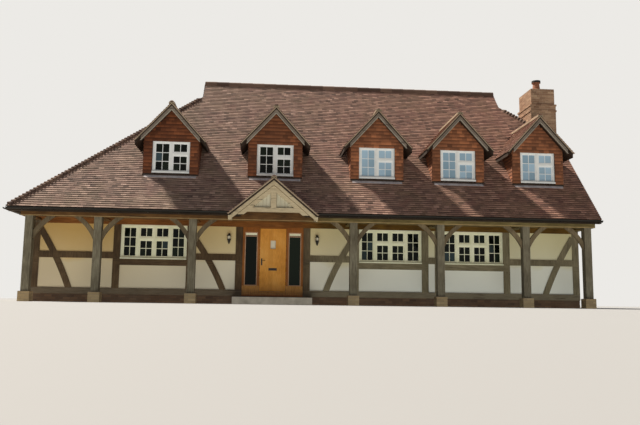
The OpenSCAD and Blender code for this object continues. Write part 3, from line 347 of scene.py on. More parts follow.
def green_oak(name, tones, beams=(), flat=False, roughness=0.75, grain=0.022, sheltered=None, arris=None,
              by_board=False, split=0.55):
    """Sawn green oak left to weather: grain lines about 22 mm apart, twelve times longer along the
    timber, with dark drying shakes. Uprights take grain along Z, and what lies between the heights in
    beams, or all of a flat piece, takes it along the level. sheltered gives the browner tones of the left
    half, up to the porch, and arris the heights and colour of a band along a lower edge: on the veranda
    beam a painted highlight on its worn arris. by_board gives each board its own tone, from its shade
    attribute,
    and split says how dark the shakes are: faint in planed joinery."""
    material, add, place = new_material(name, Roughness=roughness)
    across, along = 1 / grain, 1 / (grain * GRAIN_RUN)
    standing = add("Mapping", {"Vector": place, "Scale": (across, across, along)})
    lying = add("Mapping", {"Vector": place, "Scale": (along, along, across)})
    height = add("SeparateXYZ", [place], out="Z")
    between = lambda low, high: add("Math", [height, (low + high) / 2, (high - low) / 2],
                                    operation="COMPARE")
    lie = 1.0 if flat else 0.0
    for beam in beams:
        lie = add("Math", [between(*beam), lie], operation="MAXIMUM")
    way = add("Mix", [lie, standing, lying], data_type="VECTOR")
    lines = add("TexNoise", {"Vector": way, "Scale": 1.0, "Detail": 5.0, "Roughness": 0.6})
    patches = add("TexNoise", {"Vector": place, "Scale": 1.6, "Detail": 3.0})
    mixed = add("Mix", [0.45, lines, patches])
    spread = add("MapRange", {"Value": mixed, "From Min": 0.3, "From Max": 0.7})
    colour = add("ValToRGB", [spread], even_stops(tones))
    if sheltered:
        end = porch_x + porch_half
        share = add("MapRange", {"Value": add("SeparateXYZ", [place], out="X"), "From Min": end + 0.3,
                                 "From Max": end - 0.5})
        brown = add("ValToRGB", [spread], even_stops(sheltered))
        colour = add("Mix", [share, colour, brown], data_type="RGBA")
    # A band of another colour between two heights; on the veranda beam it is a painted highlight
    if arris:
        *heights, band_colour = arris
        edge = add("Math", [between(*heights), lines], operation="MULTIPLY")
        colour = add("Mix", [edge, colour, linear(band_colour)], data_type="RGBA")
    if by_board:
        own = add("Attribute", [], out="Fac", attribute_name="shade")
        dark = add("MapRange", {"Value": own, "To Min": 0.35, "To Max": 0.0})
        colour = add("Mix", [dark, colour, linear(tones.split()[0])], data_type="RGBA")
    shakes = add("TexNoise", {"Vector": way, "Scale": 0.35, "Detail": 2.0})
    crack = add("MapRange", {"Value": shakes, "From Min": 0.30, "From Max": 0.36, "To Min": split,
                             "To Max": 0.0})
    colour = add("Mix", [crack, colour, linear(SHAKE)], data_type="RGBA")
    return finished(material, colour, lines, 0.5, 0.006)


def lime_render(name, warm_left_end=False):
    """Smooth lime render under limewash: chalky and matt, with trowel marks about 80 mm wide. Painted light
    makes it creamier over the rails and greyer and paler below them. Asked for, the left end turns deeper
    yellow."""
    material, add, place = new_material(name, Roughness=0.92)
    cloud = add("TexNoise", {"Vector": place, "Scale": 0.8, "Detail": 5.0})
    shifted = add("Math", [cloud, 0.7, add("SeparateXYZ", [place], out="Z")], operation="MULTIPLY_ADD")
    share = add("MapRange", {"Value": shifted, "From Min": 0.9, "From Max": 2.7})
    # The ramp's tones hold painted light: creamier high up, greyer and paler low down
    limewash = lambda tones: add("ValToRGB", [share], [*zip((0, 0.4, 0.5, 1), tones.split())])
    colour = limewash("#ecede6 #edede3 #e4dfc2 #dad2aa")
    if warm_left_end:
        warm_end = limewash("#dccdb1 #e0d0af #dcc291 #c9a86a")
        right = add("MapRange", {"Value": add("SeparateXYZ", [place], out="X"), "From Min": -7.0,
                                 "From Max": 3.0})
        colour = add("Mix", [right, warm_end, colour], data_type="RGBA")
    trowel = add("TexNoise", {"Vector": place, "Scale": 1 / TROWEL_MARK, "Detail": 4.0})
    return finished(material, colour, trowel, 0.3)


def coated(name, colour, shade, patch=0.3, bump_size=0.02, depth=0.001, band=None, **sockets):
    """A painted, cast or sheet surface: its colour drifts to its shade over patches of the given size, and
    it has slight unevenness of the bump size. band is a height over which the piece has another colour."""
    material, add, place = new_material(name, **sockets)
    cloud = add("TexNoise", {"Vector": place, "Scale": 1 / patch, "Detail": 4.0})
    mixed = add("ValToRGB", [cloud], [(0.35, colour), (0.7, shade)])
    if band:
        over = add("Math", [add("SeparateXYZ", [place], out="Z"), band[0]], operation="GREATER_THAN")
        mixed = add("Mix", [over, mixed, linear(band[1])], data_type="RGBA")
    fine = add("TexNoise", {"Vector": place, "Scale": 1 / bump_size, "Detail": 3.0})
    return finished(material, mixed, fine, 0.3, depth)


def float_glass():
    """Float glass in small panes: dark where the room behind is dark, pale blue where the pane's shade is
    high, as a painted reflection of the sky."""
    material, add, _ = new_material("float_glass", Roughness=0.06, IOR=1.45, **{"Specular IOR Level": 0.12})
    own = add("Attribute", [], out="Fac", attribute_name="shade")
    return finished(material, add("ValToRGB", [own],
                                [(0, "#050905"), (0.35, "#182116"), (0.6, "#7390a6"), (1, "#b4d3ee")]))


def banded_clay(name, tones):
    """Ridge and bonnet tiles: fired clay with one shade a tile, drawn from the tile's number. On the ridge
    that is the way from its right end over the tile's length, and on a hip the way up its line, which is
    the same for front and rear in x, the distance from the ridge and z. The sand's grit of 17 mm is drawn
    coarse so that it shows."""
    material, add, place = new_material(name, Roughness=CLAY_ROUGH)
    x, y, z = (add("SeparateXYZ", [place], out=axis) for axis in "XYZ")
    from_ridge = add("Math", [add("Math", [y, y_ridge], operation="SUBTRACT")], operation="ABSOLUTE")
    folded = add("CombineXYZ", [x, from_ridge, z])

    def tile_number(foot, way, gauge, first):
        """The number of the tile at a place, counted from a foot in steps of the gauge."""
        along = add("VectorMath", [folded, tuple(way)], operation="DOT_PRODUCT")
        steps = add("Math", [along, 1 / gauge, first - foot @ way / gauge], operation="MULTIPLY_ADD")
        return add("Math", [steps], operation="FLOOR")

    def hip_number(foot, top, first):
        """The same up a hip, where the gauge is the main slope's as it shows along the hip."""
        length = np.linalg.norm(top - foot)
        gauge = ROOF_TILE[1] * sin(MAIN_PITCH) * length / (top - foot)[2]
        return tile_number(foot, (top - foot) / length, gauge, first - HIP_FOOT / gauge)

    ridge_len = x_gablet_r - x_gablet_l
    number = tile_number(x_gablet_r * X, -X, ridge_len / round(ridge_len / RIDGE_TILE_LEN), 900)
    left = hip_number(np.array([x_left, y_ridge - y_front, eaves_z]),
                      np.array([x_gablet_l, half_ridge, gablet_z]), 300)
    right = hip_number(np.array([x_right, half_hip_run, half_hip_z]),
                       np.array([x_gablet_r, half_ridge, gablet_z]), 600)
    for hip, edge, test in ((left, x_gablet_l, "LESS_THAN"), (right, x_gablet_r, "GREATER_THAN")):
        number = add("Mix", [add("Math", [x, edge], operation=test), number, hip])
    own = add("TexWhiteNoise", {"W": number}, noise_dimensions="1D")
    sand = add("TexNoise", {"Vector": place, "Scale": 60.0, "Detail": 3.0})
    mixed = add("Mix", [0.3, own, sand])
    return finished(material, add("ValToRGB", [mixed], even_stops(tones)), sand)


# Sizes that both the tiles and the materials need
ROOF_TILE = (0.165, 0.100)
HIP_FOOT, RIDGE_TILE_LEN, POT_RIM_H = 0.060, 0.445, 0.090
SIDELIGHT_FOOT, DOOR_SILL_H, BEAM_HIGHLIGHT_H = 0.580, 0.107, 0.026
beam_foot = corners("veranda_beams")[0][2]
pot_rim = corners("chimney_pot")[1][2] - POT_RIM_H
# Heights of the timbers that lie level in the frames: the sill and the middle rail
frame_beams = [(plinth_z, plinth_z + 0.19), (1.165, 1.366)]

roof_clay = fired_clay("roof_clay", "#372b29 #7a6761 #b0958b #cfb4a9 #f8e4da", "#9a8b74", 0.45,
                       tint=("#ffe7dd", -5.0, 8.0), bloom="#92706c")
hung_clay = fired_clay("hung_clay", "#442b20 #7f523c #a86d4d #c6815a #e09a6d", "#563a2c", 0.45,
                       tint=("#bdaea6", 1.5, -5.0))
ridge_clay = banded_clay("ridge_clay", "#4b3a35 #6f594f #957b6c")
chimney_clay = fired_clay("chimney_clay", "#6b4f3f #8e6d58 #ad8b73 #d0b396", "#b3a18a", 0.4)
plinth_clay = fired_clay("plinth_clay", "#40312a #5e4839 #775c48", "#7d7062", 0.3)
pier_clay = fired_clay("pier_clay", "#8c785f #ab9472 #c2ac89", "#948d7b", 0.3)
pot_clay = coated("pot_clay", "#a5735c", "#8a5a45", band=(pot_rim, "#1d1917"), Roughness=0.8)
mortar, dark_mortar, bedding_mortar, stack_mortar = (
    coated(name, colour, shade, bump_size=0.01, depth=0.003, Roughness=0.95) for name, colour, shade in (
        ("lime_mortar", "#a89883", "#8f806e"), ("dark_mortar", "#5e5148", "#4a3f38"),
        ("bedding_mortar", "#bba992", "#a2907b"), ("stack_mortar", "#c9b6a0", "#b09c87")))
# Boards painted near black as shade under the tiles: roof bodies' edges and soffits, verge shadow lines,
# dormer sill strips
tile_shadow = green_oak("shadowed_roof_boards", "#1f1712 #2b2019 #382a20", flat=True)
# Dark, so that the strip of it left bare under each dormer's face tiles is a painted shadow line
batten_wall = coated("wall_battens", "#3a241a", "#2c1b14", Roughness=0.95)
front_render = lime_render("front_render", warm_left_end=True)
render = lime_render("lime_render")
post_oak = green_oak("post_oak", "#494336 #716a5a #96917f")
brace_oak = green_oak("brace_oak", "#43392c #6a5d49 #8e8066")
# The pale band along the beam's foot is a painted highlight on its worn lower arris
beam_oak = green_oak("beam_oak", "#463c25 #6b5e3c #877a54", flat=True, sheltered="#3c2816 #5f4225 #7c5b37",
                     arris=(beam_foot, beam_foot + BEAM_HIGHLIGHT_H, "#c4a878"))
wall_oak = green_oak("wall_oak", "#554e3e #776e58 #948a72", beams=frame_beams,
                     sheltered="#34281b #51402d #6d5942", arris=(*frame_beams[0], "#766c5e"))
# The head beam and the veranda ceiling are golden partly from painted warm bounce light
head_oak_bounce_lit = green_oak("head_oak_bounce_lit", "#3f2a0e #5c4217 #775a26", flat=True, sheltered="#55341a #784a22 #946334")
end_oak = green_oak("end_oak", "#40362a #625543 #857762", beams=frame_beams)
barge_oak = green_oak("barge_oak", "#584e45 #7a6f66 #968b80", flat=True)
arris_oak = green_oak("arris_oak", "#8f8a80 #aba69b #bfbaae", flat=True)
porch_oak = green_oak("porch_oak", "#9e8f77 #c6b699 #ddd0b5", flat=True)
porch_board_oak = green_oak("porch_board_oak", "#b0ab96 #cfcab6 #e2decc", by_board=True, split=0.2)
door_oak = green_oak("door_oak", "#b37326 #dd9a42 #f0b766", roughness=0.5, grain=0.012, by_board=True,
                     split=0.12)
jamb_oak = green_oak("jamb_oak", "#6b3c16 #8f5521 #aa6d33", roughness=0.55, grain=0.015, split=0.15,
                     arris=(door_lo[2] - DOOR_SILL_H, SIDELIGHT_FOOT, "#e2ac62"))
bead_oak = green_oak("bead_oak", "#a5826a #bf9b80 #d2b096", roughness=0.6, grain=0.012, split=0.1)
# Brushed paint and wrought iron have a soft sheen, rolled lead is dull and a little metallic, sawn stone
# and screed are matt, and opal glass is smooth
joinery_paint = coated("joinery_paint", "#f2f2da", "#e6e7c9", Roughness=0.45)
dormer_paint = coated("dormer_paint", "#f8fbff", "#eef3f8", Roughness=0.45)
glass = float_glass()
iron = coated("black_iron", "#141414", "#222120", Roughness=0.45)
gutter_paint = coated("gutter_paint", "#0f0e0d", "#181614", Roughness=0.5)
lead = coated("sheet_lead", "#cdc9d0", "#aca8b1", patch=0.15, Roughness=0.6, Metallic=0.2)
stone = coated("step_stone", "#c6bcb0", "#a0968a", bump_size=0.03, depth=0.003, Roughness=0.9)
screed = coated("floor_screed", "#8a8378", "#767065", Roughness=0.9)
opal = coated("lamp_glass", "#ddd6c2", "#c9c0aa", Roughness=0.2)

NODE_FINISHES = (
    (dark_mortar, "brick_plinth"), (screed, "ground_floor"), (stone, "doorstep"),
    (wall_oak, "front_frame_left front_frame_right"), (head_oak_bounce_lit, "front_head_beam upper_floor"),
    (end_oak, "left_frame right_frame rear_frame"), (front_render, "front_panels"),
    (render, "side_panels rear_panels"), (joinery_paint, "ground_windows"), (glass, "window_glass"),
    (jamb_oak, "door_frame"), (door_oak, "front_door"), (opal, "door_light"),
    (iron, "door_furniture wall_lanterns"), (mortar, "veranda_piers"), (post_oak, "veranda_posts"),
    (beam_oak, "veranda_beams"), (brace_oak, "veranda_braces"), (gutter_paint, "gutters"),
    (tile_shadow, "front_slope rear_slope left_hip right_half_hip dormer_roofs porch_roof"),
    (ridge_clay, "ridge_tiles"), (barge_oak, "dormer_bargeboards"), (dormer_paint, "upper_windows"),
    (batten_wall, "gablets right_gable rear_dormer_walls dormer_1_walls dormer_2_walls dormer_3_walls"
                  " dormer_4_walls dormer_5_walls"),
    (lead, "lead_aprons"), (stack_mortar, "chimney_stack"), (pot_clay, "chimney_pot"),
    (porch_oak, "porch_gable"),
)
for node_finish, nodes in NODE_FINISHES:
    for node in nodes.split():
        cad_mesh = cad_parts[node].data
        cad_mesh.materials.clear()
        cad_mesh.materials.append(node_finish)


# Roof tiles

ROOF_COURSE = dict(tile=ROOF_TILE, rise=(0.026, 0.008), wobble=0.003, sway=0.005)
HUNG_COURSE = dict(tile=(0.165, 0.115), rise=(0.020, 0.008), wobble=0.005, sway=0.002)
# The first course along the eaves is paler: a painted highlight of the light falling on its tails
EAVES_PAINTED_LIGHT = 0.22
# How far tiles hang over an eaves, end short of a ridge, run in under other work, or stand over a verge,
# and the least that a valley leaves of a course
EAVES_LAP, HALF_HIP_LAP, DORMER_LAP, PORCH_LAP = 0.035, 0.03, 0.02, 0.01
RIDGE_GAP, APEX_GAP, HIP_GAP = 0.03, 0.01, 0.02
CHEEK_TUCK, FACE_TUCK, STACK_TUCK = 0.08, 0.05, 0.02
VERGE_OUT, PORCH_VERGE_OUT, VALLEY_LEAST = 0.03, 0.02, 0.10

slope_up = np.array([0, cos(MAIN_PITCH), sin(MAIN_PITCH)])
slope_len = (y_ridge - y_front) / cos(MAIN_PITCH)
gablet_v = (gablet_z - eaves_z) / sin(MAIN_PITCH)
half_hip_v = (half_hip_z - eaves_z) / sin(MAIN_PITCH)

boards = islands("dormer_bargeboards")
barge_half = (boards[0][1, 0] - boards[0][0, 0]) / 2
barge_front = min(box[0, 1] for box in boards)
dormer_verge = barge_front - VERGE_OUT
porch_verge = porch_lo[1] - PORCH_VERGE_OUT
roof_box = islands("dormer_roofs")[0]
dormer_half, dormer_top = (roof_box[1, 0] - roof_box[0, 0]) / 2, roof_box[1, 2]
front_dormers = sorted(box[:, 0].mean() for box in boards if box[0, 1] < y_ridge)
rear_dormers = sorted(box[:, 0].mean() for box in boards if box[0, 1] > y_ridge)
dormer_lo, dormer_hi = corners("dormer_1_walls")
dormer_face, cheek = dormer_lo[1], (dormer_hi[0] - dormer_lo[0]) / 2


def main_height(y):
    """Height of the front slope over a place in plan."""
    return eaves_z + (y - y_front) * tan(MAIN_PITCH)


def clear_of_dormers(places):
    """Which tiles of the front slope aren't inside a dormer or under the porch gable."""
    def keep(middle):
        x, y, z = middle.T
        inside = np.zeros(len(x), bool)
        for place in places:
            away = abs(x - place)
            roof = dormer_top - away * tan(DORMER_PITCH)
            inside |= (away < cheek - CHEEK_TUCK) & (y > dormer_face + FACE_TUCK) & (z < roof)
        away = abs(x - porch_x)
        if places is front_dormers:
            inside |= (z < porch_hi[2] - away * tan(PORCH_PITCH) - FACE_TUCK) & (away < porch_half)
        return ~inside
    return keep


def main_slope(places):
    """Tiles of the front slope, up to the hips and the gablets."""
    left = lambda v: np.interp(v, [0, gablet_v], [0, x_gablet_l - x_left]) + HIP_GAP
    right = lambda v: np.interp(v, [half_hip_v, gablet_v], [x_right - x_left, x_gablet_r - x_left])
    return courses([x_left, y_front, eaves_z], X, slope_up, left, right,
                   (-EAVES_LAP, slope_len - RIDGE_GAP), keep=clear_of_dormers(places),
                   first_tone=EAVES_PAINTED_LIGHT, **ROOF_COURSE)


def hip(x, foot_z, run, turn, lap, keep=None):
    """Tiles of a hip, whose sides run in under the bonnets. At its foot it is run wide to both sides of the
    ridge. turn is 1 at the left end and -1 at the right."""
    length = (gablet_z - foot_z) / sin(HIP_PITCH)
    side = (run - half_ridge) / length
    up = [turn * cos(HIP_PITCH), 0, sin(HIP_PITCH)]
    return courses([x, y_ridge + turn * run, foot_z], -turn * Y, up, lambda v: v * side,
                   lambda v: 2 * run - v * side, (-lap, length), keep=keep, **ROOF_COURSE)


def clear_of_stack(middle):
    """Which tiles of the half hip aren't where the chimney passes through."""
    return (middle[:, 0] < chimney_l) | (abs(middle[:, 1] - y_ridge) > STACK_HALF - STACK_TUCK)


def both_sides(spring, half, slope, back, top, span, **kind):
    """Courses on the left and the right of a dormer, half to each side of the spring in front of it. slope
    is how far they go inwards and up, and they reach as far back as back(v) at the height v, up to top."""
    inwards, upwards = slope
    reach = back(np.array(top))
    left = courses(spring + reach * Y - half * X, -Y, [inwards, 0, upwards], lambda v: reach - back(v),
                   level(reach), span, **kind)
    right = courses(spring + half * X, Y, [-inwards, 0, upwards], level(0.0), back, span, **kind)
    return [left, right]


def gable_roof(place, verge, apex, half, pitch, lap):
    """Tiles on both slopes of a small gable roof, from its verge back to the valley on the main slope. The
    valley lies as far back as the main slope takes to reach the tile's height: that height over the eaves,
    over the tangent of the main pitch."""
    eaves = apex - half * tan(pitch)
    length = half / cos(pitch)
    valley = lambda v: np.maximum(
        y_front + (eaves + v * sin(pitch) - eaves_z) / tan(MAIN_PITCH) - verge, VALLEY_LEAST)
    return both_sides(np.array([place, verge, eaves]), half, (cos(pitch), sin(pitch)), valley, length,
                      (-lap, length - APEX_GAP), **ROOF_COURSE)


def dormer_roof(place):
    """Tiles on both slopes of a front dormer."""
    return gable_roof(place, dormer_verge, dormer_top, dormer_half, DORMER_PITCH, DORMER_LAP)


def on_front(make):
    """The parts that make gives at each front dormer."""
    return [part for place in front_dormers for part in make(place)]


def on_rear(make):
    """The parts that make gives at each rear dormer, turned over."""
    return [mirrored(part) for place in rear_dormers for part in make(place)]


# The chimney's places: the shaft stands inside its two bands, and the head stands back from the shaft
BAND_OUT, HEAD_INSET, HEAD_H, BAND_GAP, BAND_H = 0.025, 0.035, 0.62, 0.225, 0.065
SHOULDER_Z, SHOULDER_H, STACK_W, STACK_HALF = 3.9, 0.6, 0.98, 0.65
stack_lo, stack_hi = corners("chimney_stack")
shaft_f, shaft_r = y_ridge - STACK_HALF, y_ridge + STACK_HALF
BREAST_HALF = (stack_hi[1] - stack_lo[1]) / 2
chimney_r = stack_hi[0] - BAND_OUT
chimney_l = chimney_r - STACK_W
stack_top = stack_hi[2]
band_z = stack_top - HEAD_H
lower_band_z = band_z - BAND_GAP

for name, parts in (
        ("front_roof_tiles", [main_slope(front_dormers)]),
        ("rear_roof_tiles", [mirrored(main_slope(rear_dormers))]),
        ("left_hip_roof_tiles", [hip(x_left, eaves_z, y_rear - y_ridge, 1, EAVES_LAP)]),
        ("half_hip_roof_tiles", [hip(x_right, half_hip_z, half_hip_run, -1, HALF_HIP_LAP, clear_of_stack)]),
        ("dormer_roof_tiles", on_front(dormer_roof) + on_rear(dormer_roof)),
        ("porch_roof_tiles",
         gable_roof(porch_x, porch_verge, porch_hi[2], porch_half, PORCH_PITCH, PORCH_LAP))):
    add_piece(name, parts, roof_clay)


# Hung tiles

DORMER_WINDOW = (1.17, 1.05)
# FACE_GAP bares the dark batten wall under a dormer's face tiles as a painted shadow line
FACE_GAP, HUNG_GAP, GABLE_GAP = 0.060, 0.010, 0.020
GABLE_FOOT_H, WALL_T = 0.5, 0.2
FAR = 20
dormer_sill = corners("upper_windows")[0][2]


def dormer_hung_tiles(place):
    """The face of a front dormer round its window, and both cheeks down to the main slope."""
    base = main_height(dormer_face)
    roof_v = dormer_top - DORMER_ROOF_T / cos(DORMER_PITCH) - base
    gable = lambda v: np.maximum(cheek - (roof_v - v) / tan(DORMER_PITCH), 0)
    half_w = DORMER_WINDOW[0] / 2
    window = (cheek - half_w, cheek + half_w, -FAR, dormer_sill + DORMER_WINDOW[1] - base)
    face = courses([place - cheek, dormer_face, base], X, Z, gable, lambda v: 2 * cheek - gable(v),
                   (FACE_GAP, roof_v), holes=[window], **HUNG_COURSE)
    wall_v = roof_v - cheek * tan(DORMER_PITCH)
    return [face, *both_sides(np.array([place, dormer_face, base]), cheek, (0, 1),
                              lambda v: v / tan(MAIN_PITCH), wall_v, (HUNG_GAP, wall_v), **HUNG_COURSE)]


def gablet_tiles(x, along):
    """The small upright gablet at one end of the ridge, tiled over its full triangle."""
    start = y_ridge - half_ridge * along[1]
    edge = lambda v: v / tan(MAIN_PITCH)
    return courses([x, start, gablet_z], along, Z, edge, lambda v: 2 * half_ridge - edge(v),
                   (0.0, ridge_z - gablet_z - GABLE_GAP), **HUNG_COURSE)


def right_gable_tiles():
    """The wall over the right frame, round the breast and the two windows, up to the half hip. Its foot
    ends at the rear wall."""
    _, start, base = corners("right_gable")[0]
    middle = y_ridge - start
    top = half_hip_z + (x_right - house_r) * tan(HIP_PITCH) - ROOF_T / cos(HIP_PITCH) - base
    under = lambda v: y_front + (base + v - eaves_z + ROOF_T / cos(MAIN_PITCH)) / tan(MAIN_PITCH)
    front = lambda v: np.maximum(under(v) - start, 0) + GABLE_GAP
    windows = [(low[1] - start, high[1] - start, low[2] - base, high[2] - base)
               for low, high in islands("upper_windows") if high[0] > house_r - WALL_T]
    breast = (middle - BREAST_HALF, middle + BREAST_HALF, -FAR, SHOULDER_Z - base)
    shaft = (middle - STACK_HALF, middle + STACK_HALF, SHOULDER_Z - base, FAR)
    behind = (wall_back - start, FAR, -FAR, GABLE_FOOT_H)
    return courses([house_r, start, base], Y, Z, front, lambda v: 2 * middle - front(v), (HUNG_GAP, top),
                   holes=[*windows, breast, shaft, behind], **HUNG_COURSE)


for name, parts in (
        ("hung_tiles_front_dormers", on_front(dormer_hung_tiles)),
        ("hung_tiles_rear_dormers", on_rear(dormer_hung_tiles)),
        ("hung_tiles_gables",
         [gablet_tiles(x_gablet_l, -Y), gablet_tiles(x_gablet_r, Y), right_gable_tiles()])):
    add_piece(name, parts, hung_clay)


# Brickwork

BRICK_H, BRICK_OUT = 0.075, 0.004
BRICK_COURSE = dict(tile=(0.225, BRICK_H), rise=(BRICK_OUT, BRICK_OUT), joint=0.010, wobble=0.002)
LEAD_LAP, LEAD_TUCK, LEAD_OUT = 0.10, 0.02, 0.005


def brick_field(origin, along, width, span, up=Z, left=None, right=None):
    """Bricks with 10 mm joints on a plane."""
    return courses(origin, along, up, left or level(0.0), right or level(width), span, **BRICK_COURSE)


def brick_box(low, high):
    """The four upright faces of a box in bricks, which turn its corners."""
    wide, deep, tall = high - low
    out = BRICK_OUT
    return [brick_field([low[0] - out, low[1], low[2]], X, wide + 2 * out, (0, tall)),
            brick_field([high[0], low[1] - out, low[2]], Y, deep + 2 * out, (0, tall)),
            brick_field([high[0] + out, high[1], low[2]], -X, wide + 2 * out, (0, tall)),
            brick_field([low[0], high[1] + out, low[2]], -Y, deep + 2 * out, (0, tall))]


def band_bricks(top):
    """One course of bricks round a band of the chimney. Its right face is the end of the whole house, where
    bricks would stand proud, so it stays bare."""
    low = np.array([chimney_l - BAND_OUT, shaft_f - BAND_OUT, top - BAND_H])
    high = np.array([chimney_r + BAND_OUT - BRICK_OUT, shaft_r + BAND_OUT, top])
    front, _, rear, left = brick_box(low, high)
    return [front, rear, left]


def chimney_bricks():
    """Shaft, head and breast. The breast narrows at its shoulders, which are laid in sloping bricks."""
    head = brick_box(np.array([chimney_l + HEAD_INSET, shaft_f + HEAD_INSET, band_z]),
                     np.array([chimney_r - HEAD_INSET, shaft_r - HEAD_INSET, stack_top]))
    between = brick_box(np.array([chimney_l, shaft_f, lower_band_z]),
                        np.array([chimney_r, shaft_r, band_z - BAND_H]))
    shaft_top = lower_band_z - BAND_H
    hip_top = half_hip_z + (x_right - chimney_l) * tan(HIP_PITCH)
    left_face = brick_field([chimney_l, shaft_r, hip_top], -Y, 2 * STACK_HALF, (0, shaft_top - hip_top))
    half = lambda v: np.interp(v, [SHOULDER_Z, SHOULDER_Z + SHOULDER_H], [BREAST_HALF, STACK_HALF])
    right_face = brick_field([chimney_r, y_ridge - BREAST_HALF, 0], Y, 0, (0, shaft_top),
                             left=lambda v: BREAST_HALF - half(v), right=lambda v: BREAST_HALF + half(v))
    start = SHOULDER_Z + SHOULDER_H
    outside = lambda v: np.where(v + start > half_hip_z, 0.0, house_r - chimney_l)
    shaft_side = brick_field([chimney_l, shaft_f, start], X, 0, (0, shaft_top - start),
                             left=outside, right=level(STACK_W))
    breast_side = brick_field([house_r, y_ridge - BREAST_HALF, 0], X, chimney_r - house_r, (0, SHOULDER_Z))
    fall = np.array([0, BREAST_HALF - STACK_HALF, SHOULDER_H])
    shoulder = brick_field([house_r, y_ridge - BREAST_HALF, SHOULDER_Z], X, chimney_r - house_r,
                           (0, np.linalg.norm(fall)), up=fall / np.linalg.norm(fall))
    sides = [shaft_side, breast_side, shoulder]
    bands = band_bricks(band_z) + band_bricks(lower_band_z)
    return head + between + bands + [left_face, right_face] + sides + [mirrored(part) for part in sides]


def chimney_flashing():
    """Sheet lead where the half hip meets the stack: a level strip across its left face, and steps of two
    brick courses down its front and rear faces, each as long as the roof takes to fall one step."""
    step, face = 2 * BRICK_H, BRICK_OUT + LEAD_OUT
    hip_height = lambda x: half_hip_z + (x_right - x) * tan(HIP_PITCH)
    x = np.arange(chimney_l, x_right, step / tan(HIP_PITCH))
    past = np.minimum(x + step / tan(HIP_PITCH), x_right)
    front = boxes(rows(x, shaft_f - face, hip_height(past)),
                  rows(past, shaft_f, hip_height(x) + LEAD_LAP), 0.5)
    left = boxes([chimney_l - face, shaft_f, hip_height(chimney_l) - LEAD_TUCK],
                 [chimney_l, shaft_r, hip_height(chimney_l) + LEAD_LAP], 0.5)
    return [front, mirrored(front), left]


plinth_lo, plinth_hi = corners("brick_plinth")
add_piece("chimney_bricks", chimney_bricks(), chimney_clay)
add_piece("chimney_flashing", chimney_flashing(), lead)
add_piece("plinth_bricks", brick_box(plinth_lo, plinth_hi), plinth_clay)
add_piece("pier_bricks", [part for low, high in islands("veranda_piers") for part in brick_box(low, high)],
          pier_clay)


# Windows: casements, glazing bars and panes in every light

SASH_W, SASH_OUT, BAR_W, BAR_OUT, PANE_H = 0.040, 0.014, 0.020, 0.010, 0.32
BEAD_W, VENT_H, VENT_RAIL, SIDELIGHT_H = 0.028, 0.065, 0.024, 1.5
# Lowest shade of a pane with a painted sky reflection, and highest of one without
PAINTED_SKY_TONE, DARK_TONE = 0.75, 0.42
SILL_SIZES = {"ground_windows": (0.035, 0.060), "upper_windows": (0.055, 0.065)}


def strut(at, along, side, up, shade=0.5):
    """A bar about its middle, with half of its length and of both its sides."""
    return bars(at - along, at + along, side, up, shade)


def surround(middle, across, half_w, half_h, width, depth, shade=0.5):
    """Two uprights and two rails between them along the inside of a rectangle's edges."""
    parts = []
    for side in (-1, 1):
        upright = middle + across * side * (half_w - width / 2)
        rail = middle + Z * side * (half_h - width / 2)
        parts.append(strut(upright, Z * half_h, across * width / 2, depth, shade))
        parts.append(strut(rail, across * (half_w - width), Z * width / 2, depth, shade))
    return parts


def window_pieces():
    """Works through the panes of the CAD glass. A light is split in two across and in rows of about 320 mm,
    each pane a thin box between its bars, with a sash round the light. Long sidelights of the door stay
    whole, in oak beads with a white vent strip on top. Panes of the upper windows of the right half get a
    painted reflection of the sky, and a dark pane's shade is a random number cubed: most are nearly black."""
    sashes, glazing = {"ground": [], "upper": [], "beads": []}, []
    middle = (cad_bounds[0] + cad_bounds[1]) / 2
    for low, high in islands("window_glass"):
        size = high - low
        thin = int(np.argmin(size[:2]))
        wide = 1 - thin
        centre = (low + high) / 2
        out = np.zeros(3)
        out[thin] = np.sign(centre[thin] - (middle[thin] if thin == 0 else y_ridge))
        across = np.eye(3)[wide]
        face = centre + out * size[thin] / 2
        half_w, half_h = size[wide] / 2, size[2] / 2
        sidelight = size[2] > SIDELIGHT_H
        upper = centre[2] > dormer_sill
        store = sashes["upper" if upper else "ground"]
        rim_store = sashes["beads"] if sidelight else store
        rim = BEAD_W if sidelight else SASH_W
        mid = face + out * SASH_OUT / 2
        depth = out * (SASH_OUT / 2)
        rim_store += surround(mid, across, half_w, half_h, rim, depth)
        high_count = 1 if sidelight else max(1, round(size[2] / PANE_H))
        wide_count = 1 if sidelight else 2
        bar = face + out * BAR_OUT / 2
        bar_depth = out * (BAR_OUT / 2)
        clear_w, clear_h = half_w - rim, half_h - rim
        if sidelight:
            top = mid + Z * (clear_h - VENT_H / 2)
            store.append(strut(top, across * clear_w, Z * VENT_H / 2, depth))
            rim_store.append(strut(top - Z * VENT_H, across * clear_w, Z * VENT_RAIL / 2, depth))
        else:
            store.append(strut(bar, Z * clear_h, across * BAR_W / 2, bar_depth))
        for j in range(1, high_count):
            at = bar + Z * clear_h * (2 * j / high_count - 1)
            for side in (-1, 1):
                start = at + across * side * BAR_W / 2
                store.append(bars(start, at + across * side * clear_w, Z * BAR_W / 2, bar_depth, 0.5))
        painted_sky = upper and centre[1] < y_ridge and centre[0] > front_dormers[2] - cheek
        inside = across * clear_w / wide_count + Z * clear_h / high_count + abs(out) * size[thin] / 2
        for i in range(wide_count):
            for j in range(high_count):
                at = centre + across * clear_w * ((2 * i + 1) / wide_count - 1)
                at = at + Z * clear_h * ((2 * j + 1) / high_count - 1)
                own = draw.random()
                # Painted reflection of the sky on the right-hand upper panes
                tone = PAINTED_SKY_TONE + (1 - PAINTED_SKY_TONE) * own if painted_sky else DARK_TONE * own ** 3
                glazing.append(boxes(at - inside, at + inside, tone))
    return sashes, glazing


